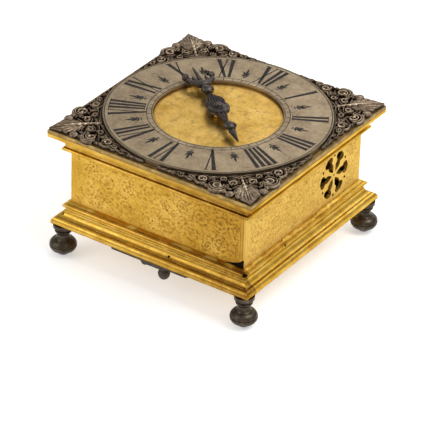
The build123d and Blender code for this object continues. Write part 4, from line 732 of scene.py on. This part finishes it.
def make_tail(casting):
    """Scrolls of falling size in each tail of a spandrel, between the ring and the plate's edge."""
    hand = 1
    previous = CURLS[0][0]
    for index, across in enumerate(TAIL_SCROLLS):
        centre, radius = tail_lobe(across)
        slope = degrees_of(previous, centre)
        height = 2.05 - 0.12 * index
        width = max(0.27, 0.13 * radius)
        casting.scroll(centre, radius * 0.80, slope + 180 - 40 * hand, 1.5, hand, width, height, 0.26)
        casting.lobe(centre, radius * 0.93, slope + 20, slope + 150, max(0.26, 0.15 * radius), height - 0.35)
        casting.lobe(centre, radius * 0.95, slope - 150, slope - 60, max(0.24, 0.1 * radius), height - 0.3)
        middle = part_way(previous, centre, 0.5)
        casting.vine(curve(previous, around(middle, 1.5 * radius * hand, slope + 90), centre), 0.3, 1.7, 0.8)
        for share in (0.32, 0.62):
            for side in (-1, 1):
                at = around(part_way(previous, centre, share), side * radius * 0.6, slope + 90)
                casting.leaf(at, 90 - slope - side * 38, max(1.0, radius * 0.8), max(0.26, 0.16 * radius),
                             height - 0.3, side * 45)
        previous = centre
        hand = -hand
    casting.vine(curve(previous, (36.4, 46.1), (38.1, 44.3)), 0.36, 1.5, 0.5)
    casting.leaf((36.4, 45.4), 132, 2.4, 0.45, 1.5, -8)
    arc = [around((0, 0), RING_OUTER + 0.75, 89 - k) for k in range(40)]
    casting.both(arc, [0.36] * 40, [1.15 + 0.25 * (k % 2) for k in range(40)])


# Hand: filed and carved from thick steel, in (across, along) with its point 52 degrees before twelve

HAND_TURN = radians(90 + 52)


def on_hand(across, along, level):
    ahead_x, ahead_y = cos(HAND_TURN), sin(HAND_TURN)
    return along * ahead_x + across * ahead_y, along * ahead_y - across * ahead_x, level


BAR = ((-0.75, 0), (-1, 0.18), (-1, 0.55), (-0.72, 0.88), (0, 1), (0.72, 0.88), (1, 0.55), (1, 0.18), (0.75, 0))


def hand_bar(shape, stations, base):
    """Solid bar through (along, half width, height) stations."""
    along, widths, heights = zip(*stations)
    shape.strip([(0, place) for place in along], widths, base, heights, BAR, on_hand)


KNOP = ((0.0, 0.52), (0.04, 0.62), (0.12, 0.62), (0.16, 0.50), (0.24, 0.74), (0.36, 0.94), (0.5, 1.0), (0.64, 0.94),
        (0.76, 0.74), (0.84, 0.50), (0.88, 0.62), (0.96, 0.62), (1.0, 0.52))
KNOP_LENGTH, KNOP_HALF_WIDTH, KNOP_HEIGHT = 6.0, 3.4, 4.2


def knop(shape, start, base):
    """Turned knob along the hand, with a fillet at each end."""
    rings = []
    for share, size in KNOP:
        circle = [around((0, 0), size, 360 * k / 20) for k in range(20)]
        rings.append([on_hand(KNOP_HALF_WIDTH * x, start + share * KNOP_LENGTH, base + KNOP_HEIGHT / 2 * (1 + y))
                      for x, y in circle])
    shape.loft(rings)


# The hand's bars as (along, half width, height), its tail being on the far side of the hub
PALM = ((1.4, 4.2, 2.5), (3.4, 5.1, 2.6), (5.4, 5.2, 2.5), (7.5, 4.5, 2.3), (9.5, 3.4, 2.1), (11.4, 2.3, 2.0),
        (13.4, 1.5, 1.9), (15.8, 1.5, 2.0))
POINTER = ((20.6, 1.7, 2.4), (22.0, 1.8, 2.2), (24.2, 2.1, 2.1), (26.0, 1.6, 2.1), (28.0, 1.3, 2.0),
           (33.0, 0.95, 1.8), (38.0, 0.6, 1.6), (43.4, 0.1, 1.2))
TAIL = ((-3.4, 2.4, 2.2), (-4.6, 2.75, 2.2), (-7.0, 2.5, 2.0), (-10.0, 1.7, 1.8), (-13.0, 1.05, 1.8),
        (-15.8, 0.95, 1.9))
TAIL_TIP = ((-21.0, 1.6, 2.3), (-22.4, 1.75, 2.2), (-25.0, 1.35, 1.9), (-28.5, 0.8, 1.6), (-31.5, 0.25, 1.2))
HUB = ((4.9, 0), (5.5, 0.3), (5.6, 0.8), (5.3, 1.1), (5.3, 1.7), (5.6, 2.0), (5.5, 2.4), (5.0, 2.6), (4.2, 2.4),
       (3.4, 2.6), (3.0, 2.9), (0, 2.9))
THORN = (1.2, 1.1, 1.0, 0.9, 0.8, 0.65, 0.5, 0.32, 0.12)
FALLING = (2.2, 2.2, 2.1, 2.1, 2.0, 1.9, 1.8, 1.6, 1.3)
# Thorns on both sides of the hand, as (start, bend, end, half widths, heights)
THORNS = (((2.6, 26.8), (3.9, 30.2), (3.3, 33.4), scaled(0.62, THORN), FALLING),
          ((6.6, 34.0), (6.4, 36.4), (5.0, 37.6), scaled(0.6, THORN), FALLING),
          ((1.0, 24.4), (3.4, 23.6), (4.4, 26.6), (0.9, 0.9, 0.85, 0.8, 0.75, 0.7, 0.6, 0.5, 0.3), [2.2] * 9))


def make_hand():
    hand = Shape()
    base = HAND_BOTTOM
    hand.turned(shifted(0, base, HUB))
    hand_bar(hand, PALM, base)
    for side in (-1, -0.67, -0.33, 0, 0.33, 0.67, 1):
        path = [(side * 0.86 * width, along) for along, width in (
            (0.8, 3.0), (2.8, 4.5), (5.0, 5.1), (7.5, 4.4), (9.6, 3.2), (11.6, 2.0), (13.6, 1.0))]
        hand.strip(path, (0.30, 0.56, 0.60, 0.54, 0.42, 0.30, 0.16), base + 1.3, (1.7, 1.9, 1.85, 1.7, 1.4, 1.0, 0.6),
                   HALF_ROUND, on_hand)
    knop(hand, 15.2, base - 0.35)
    hand_bar(hand, POINTER, base)
    shares = [k / 32 for k in range(33)]
    widths = [0.62 + 1.2 * sin(pi * share) ** 0.9 for share in shares]
    horns = [around((0, 31.8), 7.5 - width, 170 + 200 * share) for width, share in zip(widths, shares)]
    hand.strip(horns, widths, base, [1.7 + 0.7 * sin(pi * share) for share in shares], BAR, on_hand)
    for side in (-1, 1):
        for at, radius, height in (((7.0, 33.4), 1.55, 2.7), ((5.4, 35.2), 0.75, 2.0)):
            ball = ((radius * 0.7, 0), (radius, 0.5), (radius, 1.3), (radius * 0.75, height - 0.4),
                    (radius * 0.35, height), (0, height))
            hand.turned(shifted(0, base, ball), on_hand(side * at[0], at[1], 0)[:2], 20)
        for start, bend, end, widths, heights in THORNS:
            path = [(side * across, along) for across, along in curve(start, bend, end, 8)]
            hand.strip(path, widths, base, heights, BAR, on_hand)
    hand_bar(hand, TAIL, base)
    for side in (-0.7, 0, 0.7):
        path = [(side * width, along) for along, width in ((-5.0, 2.5), (-7.5, 2.2), (-10.0, 1.5), (-13.0, 0.7))]
        hand.strip(path, (0.5, 0.45, 0.35, 0.2), base + 1.3, (1.25, 1.15, 0.95, 0.7), HALF_ROUND, on_hand)
    knop(hand, -21.5, base - 0.35)
    hand_bar(hand, TAIL_TIP, base)
    make("carved_hand", hand, "hand_steel", ("hour_hand",), angle=45, body="hour_hand")
    top = box_mm("hand_collet")[1].z
    boss = Shape()
    boss.turned(shifted(0, base, ((2.9, 2.4), (2.9, 3.2), (2.5, 3.4), (2.1, 3.4)))
                + shifted(0, top, ((2.0, -0.5), (1.6, -0.1), (0.9, 0), (0, 0))), sides=40)
    make("hand_boss", boss, "hand_steel", ("hand_collet",), angle=35, body="hour_hand")


# Feet, bell and other turned pieces

FOOT_PROFILE = ((0, 0), (2.3, 0), (2.7, 0.3), (2.75, 0.8), (2.4, 1.2), (3.4, 1.5), (4.9, 2.1), (6.1, 3.0), (6.8, 4.1),
                (6.98, 5.1), (6.9, 5.5), (6.65, 5.6), (6.65, 5.85), (6.9, 6.0), (6.7, 6.7), (6.2, 7.5), (5.5, 8.2),
                (4.9, 8.5), (4.75, 8.8), (4.35, 8.85), (3.7, 9.5), (3.3, 10.3), (3.15, 11.2), (3.25, 12.0),
                (3.6, 12.6), (4.1, 12.9), (4.3, 13.2), (4.3, 13.7), (4.0, 13.95), (4.1, 14.3), (4.7, 14.9),
                (5.1, 15.4), (5.2, 15.9), (5.2, 17.5))


def make_feet():
    feet = Shape()
    away = BASE_HALF - 4.6
    for x in (-away, away):
        for y in (-away, away):
            feet.turned(FOOT_PROFILE, (x, y), 64)
    make("turned_feet", feet, "foot_bronze", ("feet",), angle=32)


def make_latch():
    """The turn latch under the base: an arm with round ends, and a turned knob to grip it by."""
    low, high = box_mm("latch_arm")
    end_radius, knob_radius, thickness = 2.7, 3.05, 1.4
    middle = (low.y + high.y) / 2
    pivot, knob = low.x + end_radius, high.x - 3.1
    outline = [around((pivot, middle), end_radius, turn) for turn in range(90, 271, 15)]
    outline += [around((knob, middle), end_radius, turn) for turn in range(-90, 91, 15)]
    latch = Shape()
    latch.slab(outline, high.z - thickness, high.z)
    profile = ((0, 0), (0.7, 0.03), (1.4, 0.3), (2.1, 0.9), (2.7, 1.8), (knob_radius, 3.0), (knob_radius, 3.8),
               (2.8, 4.6), (2.3, 5.2), (1.95, 5.5), (1.95, 5.8), (2.4, 6.1), (2.5, 6.4))
    latch.turned(shifted(0, low.z, profile), (knob, middle), 40)
    make("turned_latch", latch, "underside_iron", ("latch_arm",), angle=34, bevel=0.15, body="latch_arm")


BELL_WALL = 1.3


def make_bell():
    low, high = box_mm("bell")
    radius, height = (high.x - low.x) / 2, high.z - low.z
    outside = [(radius, 0), (radius, 0.8)]
    for k in range(1, 12):
        angle = radians(90 * k / 12)
        outside.append((radius * (0.30 + 0.70 * cos(angle) ** 0.55), height * sin(angle) ** 1.1))
    outside.append((radius * 0.13, height))
    inside = [(max(r - BELL_WALL, radius * 0.13), min(z, height - BELL_WALL)) for r, z in reversed(outside[1:])]
    bell = Shape()
    bell.revolved_ring(shifted(0, low.z, outside + inside + [(radius - BELL_WALL, 0)]),
                       ((low.x + high.x) / 2, (low.y + high.y) / 2), 96)
    make("cast_bell", bell, "bell_bronze", ("bell",), angle=35)


# Mouldings, swept round the case with finely drawn sections

def arc_through(first, middle, last, steps=10):
    """Points of the circle through three points."""
    ax, ay = first
    bx, by = middle
    cx, cy = last
    d = 2 * (ax * (by - cy) + bx * (cy - ay) + cx * (ay - by))
    ux = ((ax * ax + ay * ay) * (by - cy) + (bx * bx + by * by) * (cy - ay) + (cx * cx + cy * cy) * (ay - by)) / d
    uy = ((ax * ax + ay * ay) * (cx - bx) + (bx * bx + by * by) * (ax - cx) + (cx * cx + cy * cy) * (bx - ax)) / d
    radius = hypot(ax - ux, ay - uy)
    turns = [degrees_of((ux, uy), point) for point in (first, middle, last)]
    total = (turns[2] - turns[0]) % 360
    if (turns[1] - turns[0]) % 360 > total:
        total -= 360
    return [around((ux, uy), radius, turns[0] + total * k / steps) for k in range(steps + 1)]


FRAME_STEPS = 44
FRAME_WEAR = 0.07


def swept_frame(name, section, node):
    """Square frame of one closed section of (out, up) points, mitred at the corners, with a worn surface."""
    shape = Shape()
    rings = []
    for quarter in range(4):
        turn = pi / 2 * quarter
        outward = Vector((cos(turn), sin(turn), 0))
        sideways = Vector((-sin(turn), cos(turn), 0))
        for k in range(FRAME_STEPS):
            share = 2 * k / FRAME_STEPS - 1
            ring = []
            for out, up in section:
                point = out * outward + share * out * sideways + Vector((0, 0, up))
                if k:
                    worn = FRAME_WEAR * (noise.noise(point * 0.16) + 0.5 * noise.noise(point * 0.55))
                    point += outward * worn * 0.6 + Vector((0, 0, worn * 0.5))
                ring.append(tuple(point))
            rings.append(ring)
    shape.loft(rings, closed=True)
    make(name, shape, "gilt_moulding", (node,), angle=34, bevel=0.16)


def make_mouldings():
    """Both mouldings; their sections run up the outside from the bottom, then back down inside."""
    wall, half, low, top = CASE_HALF, BASE_HALF, BASE_BOTTOM, box_mm("base_moulding")[1].z
    base = shifted(half, low, ((-0.7, 0), (0, 0.6)))
    base += arc_through(*shifted(half, low, ((0, 1.7), (-0.6, 3.2), (-2.1, 4.1))))
    base += shifted(half, low, ((-2.5, 4.1), (-2.5, 4.4)))
    base += arc_through(*shifted(half, low, ((-2.8, 4.5), (-4.3, 5.6), (-5.1, 7.5))))
    base += shifted(half, low, ((-5.3, 7.5), (-5.3, 7.8))) + shifted(wall, low, ((1.9, 8.0), (1.9, 8.7), (2.4, 8.9)))
    base += arc_through(*shifted(wall, top, ((2.5, -2.1), (3.3, -1.3), (2.6, -0.5))), 8)
    base += shifted(wall, top, ((2.2, -0.6), (0.2, 0.75), (-0.1, 0.75), (-0.1, 0), (-5.8, 0), (-5.8, -2.2),
                                (-0.5, -2.2)))
    base += shifted(wall, low, ((-0.5, 7.0), (1.5, 4.6), (3.5, 3.4), (-7.1, 3.4), (-7.1, 1.9), (-5.7, 1.9), (-5.7, 0)))
    swept_frame("base_frame", base, "base_moulding")
    half, low, top = FRAME_HALF, WALL_TOP, FRAME_TOP
    upper = shifted(wall, low, ((-4.7, 0), (2.7, 0)))
    upper += arc_through(*shifted(wall, low, ((2.7, 0.2), (3.6, 1.1), (2.7, 2.0))))
    upper += shifted(wall, low, ((2.2, 2.3),))
    upper += arc_through((wall + 2.2, low + 3.3), *shifted(half, top, ((-4.7, -4.2), (-0.9, -2.7))), 14)
    upper += shifted(half, top, ((-0.5, -2.7), (0, -2.1), (0, -0.3), (-0.3, 0)))
    upper += shifted(wall, top, ((-4.7, 0), (-4.7, -2.2))) + shifted(half, top, ((-4.2, -2.2),))
    upper += shifted(wall, low, ((0.2, 4.2), (0.2, 1.6), (-4.7, 1.6)))
    swept_frame("upper_frame", upper, "upper_moulding")


# Engraving on the walls: a scrolling vine with leaves and flowers, as fine raised and stained lines

LINE_HEIGHT = 0.06


def on_wall(turn):
    """Places (along, up) on the wall whose outward side faces this way."""
    out = (cos(radians(turn)), sin(radians(turn)))

    def place(along, up, lift):
        reach = CASE_HALF + lift
        return reach * out[0] - along * out[1], reach * out[1] + along * out[0], up
    return place


def anywhere(x, y):
    return True


class Engraving(Shape):
    """Fine raised lines on one wall; keep says where it has room for them."""

    def __init__(self, turn, keep):
        super().__init__()
        self.place = on_wall(turn)
        self.keep = keep

    def line(self, path, half_width=0.13):
        """Line along a path, broken off where there is no room for it."""
        run = []
        for point in list(path) + [None]:
            if point is not None and self.keep(*point):
                run.append(point)
                continue
            if len(run) > 1:
                widths = taper(run, half_width, half_width, half_width * 0.6)
                self.strip(run, widths, 0.0, [LINE_HEIGHT] * len(run), RIDGE, self.place)
            run = []

    def ring(self, centre, radius, half_width, steps):
        self.line([around(centre, radius, 360 * k / steps) for k in range(steps + 1)], half_width)

    def leaf(self, at, turn, length, half_width, bend, veins):
        outline = leaf_outline(at, turn, length, half_width, bend, 8)
        self.line(outline + outline[:1], 0.11)
        spine = bent_path(at, turn, length * 8 / 9, bend, 8)[:8]
        self.line(spine, 0.1)
        for k in range(1, veins + 1):
            for side in (-1, 1):
                start = spine[2 * k - 1]
                tip = around(start, 0.62 * half_width, 90 - turn - bend * 2 * k / 8 + side * 40)
                self.line([start, tip], 0.07)

    def flower(self, centre, radius, petals):
        self.ring(centre, radius * 0.28, 0.11, 12)
        self.ring(centre, radius * 0.12, 0.09, 8)
        for k in range(petals):
            turn = 360 * k / petals
            start = around(centre, 0.3 * radius, 90 - turn)
            outline = leaf_outline(start, turn, 0.72 * radius, 0.30 * radius, 0, 6)
            self.line(outline + outline[:1], 0.1)
            self.line([start, around(start, 0.4 * radius, 90 - turn)], 0.07)


def packed_circles(chance, half_width, half_height, sizes):
    """Circles of falling sizes that fill a rectangle; sizes is a list of (radius, tries)."""
    circles = []
    for radius, tries in sizes:
        for _ in range(tries):
            x = chance.uniform(-half_width + radius, half_width - radius)
            y = chance.uniform(-half_height + radius, half_height - radius)
            if all(hypot(x - a, y - b) > radius + r + 0.1 for a, b, r in circles):
                circles.append((x, y, radius))
    return circles


def engrave_wall(turn, keep=anywhere):
    drawing = Engraving(turn, keep)
    chance = random.Random(turn + 11)
    half, low, high = CASE_HALF, WALL_BOTTOM, WALL_TOP
    for inset in (1.0, 2.5):
        for side in (-1, 1):
            drawing.line([(side * (half - inset), low + 0.5 + (high - low - 1.0) * k / 12) for k in range(13)], 0.16)
    for up in (low + 0.9, high - 0.9):
        drawing.line([(-half + 2.5 + (2 * half - 5) * k / 60, up) for k in range(61)], 0.12)
    wide, tall = half - 3.2, (high - low) / 2 - 1.4
    middle_up = (low + high) / 2
    sizes = ((5.6, 60), (4.4, 160), (3.3, 400), (2.5, 600), (1.8, 1200), (1.2, 1600))
    for index, (x, y, radius) in enumerate(packed_circles(chance, wide, tall, sizes)):
        centre = (x, middle_up + y)
        hand = 1 if index % 2 else -1
        start = chance.uniform(0, 360)
        turns = 1.7 if radius > 3 else 1.3
        steps = int(14 + 7 * radius)
        path = spiral(centre, radius * 0.96, radius * 0.30, start, turns, hand, steps)
        drawing.line(path, 0.08 + 0.01 * radius)
        if radius > 2.5:
            drawing.flower(centre, radius * 0.30, 5 + index % 3)
            for step in range(2, int(steps * 0.8), 4):
                along = 90 - degrees_of(path[step - 1], path[step + 1])
                size = radius * 0.40 * (1.1 - 0.5 * step / steps)
                drawing.leaf(path[step], along + hand * 30, size, size * 0.24, hand * -60, 1)
                if step % 3:
                    drawing.leaf(path[step], along - hand * 22, size * 0.9, size * 0.22, hand * 30, 1)
        else:
            for k in range(3):
                turn_out = start + 120 * k
                drawing.leaf(around(centre, 0.75 * radius, 90 - turn_out), turn_out, radius * 0.9, radius * 0.22,
                             hand * 50, 0)
    for _ in range(900):
        x, y = chance.uniform(-wide, wide), middle_up + chance.uniform(-tall, tall)
        lean = chance.choice((35, 50, 125))
        for row in range(3):
            start = (x + 0.32 * row, y)
            drawing.line([start, around(start, 0.8, lean)], 0.055)
    return drawing


# Edge of the worn lower right corner of the front wall, as (along, up from the wall's foot)
WORN_CORNER = ((39.6, 0.5), (43.0, 1.4), (46.0, 2.3), (48.4, 3.2), (50.2, 4.3), (51.0, 5.2))


def on_front_sheet(x, z):
    """False where the front wall's lower right corner is worn away."""
    for near, far in zip(WORN_CORNER, WORN_CORNER[1:]):
        if near[0] <= x <= far[0]:
            edge = near[1] + (far[1] - near[1]) * (x - near[0]) / (far[0] - near[0])
            return z > WALL_BOTTOM + edge + 0.25
    return x < WORN_CORNER[0][0] or z > WALL_BOTTOM + WORN_CORNER[-1][1] + 0.5


ROSETTE_ALONG, ROSETTE_UP, ROSETTE_RADIUS = 27.5, WALL_BOTTOM + 15.3, 12.8


def clear_of_rosette(x, y):
    return hypot(x - ROSETTE_ALONG, y - ROSETTE_UP) > ROSETTE_RADIUS + 0.9


def make_engraving():
    walls = {"front": engrave_wall(270, on_front_sheet), "left": engrave_wall(180), "back": engrave_wall(90),
             "right": engrave_wall(0, clear_of_rosette)}
    walls["right"].keep = anywhere
    for radius, half_width in ((13.25, 0.15), (14.1, 0.12)):
        walls["right"].ring((ROSETTE_ALONG, ROSETTE_UP), radius, half_width, 72)
    for name, drawing in walls.items():
        make("engraving_" + name, drawing, "gilt_case", angle=25, material=ENGRAVED)


def make_front_wall():
    """The front wall, with its lower right corner bent and worn away from the base, and a near-black piece in the gap
    there as painted shade.
    """
    low, high = WALL_BOTTOM, WALL_TOP
    worn = [(x, low + z) for x, z in WORN_CORNER]
    outline = [(-CASE_HALF, low), (WORN_CORNER[0][0] - 1.0, low)] + worn
    outline += [(CASE_HALF, low + 5.3), (CASE_HALF, high), (-CASE_HALF, high)]
    wall = Shape()
    wall.loft([[(x, -CASE_HALF, z) for x, z in outline],
               [(max(-WALL_INNER, min(WALL_INNER, x)), -WALL_INNER, z) for x, z in outline]])
    make("front_sheet", wall, "gilt_case", ("wall_front",), angle=25)
    # Painted shade: a near-black filling set back in the gap behind the worn corner
    filling = [(38.8, low)] + [(x, z + 0.2) for x, z in worn] + [(51.3, low + 5.4), (51.3, low)]
    gap = Shape()
    gap.loft([[(x, -CASE_HALF + depth, z) for x, z in filling] for depth in (0.5, 1.5)])
    make("corner_gap_shadow", gap, "gilt_case", angle=25, material=GAP_SHADOW)


# Camera, from the photograph: where it stands round the clock, how far off, and its small tilt
CAMERA_AZIMUTH = radians(33.525)
CAMERA_ELEVATION = radians(31.889)
CAMERA_DISTANCE = 1.6808
CAMERA_SIDE = 0.0004
CAMERA_RISE = -0.0486
CAMERA_ROLL = radians(1.789)
CAMERA_LENS = 283.86
AIM = Vector((0, 0, 0.07193))


def make_camera():
    back = Vector((sin(CAMERA_AZIMUTH) * cos(CAMERA_ELEVATION), -cos(CAMERA_AZIMUTH) * cos(CAMERA_ELEVATION),
                   sin(CAMERA_ELEVATION)))
    right = Vector((cos(CAMERA_AZIMUTH), sin(CAMERA_AZIMUTH), 0))
    up = back.cross(right)
    place = AIM + CAMERA_DISTANCE * back + CAMERA_SIDE * right + CAMERA_RISE * up
    data = bpy.data.cameras.new("camera")
    data.lens = CAMERA_LENS
    data.sensor_width = 36
    camera = bpy.data.objects.new("camera", data)
    turn = Matrix((right, up, back)).transposed() @ Matrix.Rotation(CAMERA_ROLL, 3, "Z")
    camera.matrix_world = Matrix.Translation(place) @ turn.to_4x4()
    bpy.context.scene.collection.objects.link(camera)
    bpy.context.scene.camera = camera


# Studio: lamps as (name, place, size, watts), all aimed at the clock's middle
LAMPS = (("key", (0.75, 0.15, 1.2), (0.8, 0.6), 9), ("fill", (-0.7, -1.0, 0.9), (0.9, 0.7), 4.4),
         ("rim", (-0.1, 1.1, 0.9), (1.2, 0.5), 3.5))
LAMP_AIM = Vector((0, 0, 0.05))
SKY_COLOUR, SKY_STRENGTH = (1.0, 0.99, 0.97, 1), 0.55
FLOOR_REACH, FLOOR_DROP = 6.0, 0.0002
FLOOR_COLOUR, FLOOR_GLOW = (0.86, 0.86, 0.86, 1), 0.45


def make_lamps():
    for name, place, size, watts in LAMPS:
        data = bpy.data.lights.new(name, "AREA")
        data.shape = "RECTANGLE"
        data.size, data.size_y = size
        data.energy = watts
        lamp = bpy.data.objects.new(name, data)
        lamp.location = place
        lamp.rotation_euler = (Vector(place) - LAMP_AIM).to_track_quat("Z", "Y").to_euler()
        bpy.context.scene.collection.objects.link(lamp)


def make_floor():
    mesh = bpy.data.meshes.new("floor")
    mesh.from_pydata([(x * FLOOR_REACH, y * FLOOR_REACH, 0) for x, y in ((-1, -1), (1, -1), (1, 1), (-1, 1))], [],
                     [(0, 1, 2, 3)])
    material = bpy.data.materials.new("floor")
    material.use_nodes = True
    shader = material.node_tree.nodes["Principled BSDF"].inputs
    shader["Base Color"].default_value = FLOOR_COLOUR
    shader["Roughness"].default_value = 0.9
    shader["Emission Color"].default_value = (1, 1, 1, 1)
    shader["Emission Strength"].default_value = FLOOR_GLOW
    mesh.materials.append(material)
    floor = bpy.data.objects.new("floor", mesh)
    floor.location.z = -FLOOR_DROP
    bpy.context.scene.collection.objects.link(floor)


def make_studio():
    bpy.context.scene.view_settings.view_transform = "Standard"
    world = bpy.data.worlds.new("studio")
    world.use_nodes = True
    background = world.node_tree.nodes["Background"].inputs
    background["Color"].default_value = SKY_COLOUR
    background["Strength"].default_value = SKY_STRENGTH
    bpy.context.scene.world = world
    make_lamps()
    make_floor()


make_dial()
make_spandrels()
make_hand()
make_feet()
make_bell()
make_latch()
make_mouldings()
make_front_wall()
make_engraving()
make_camera()
make_studio()
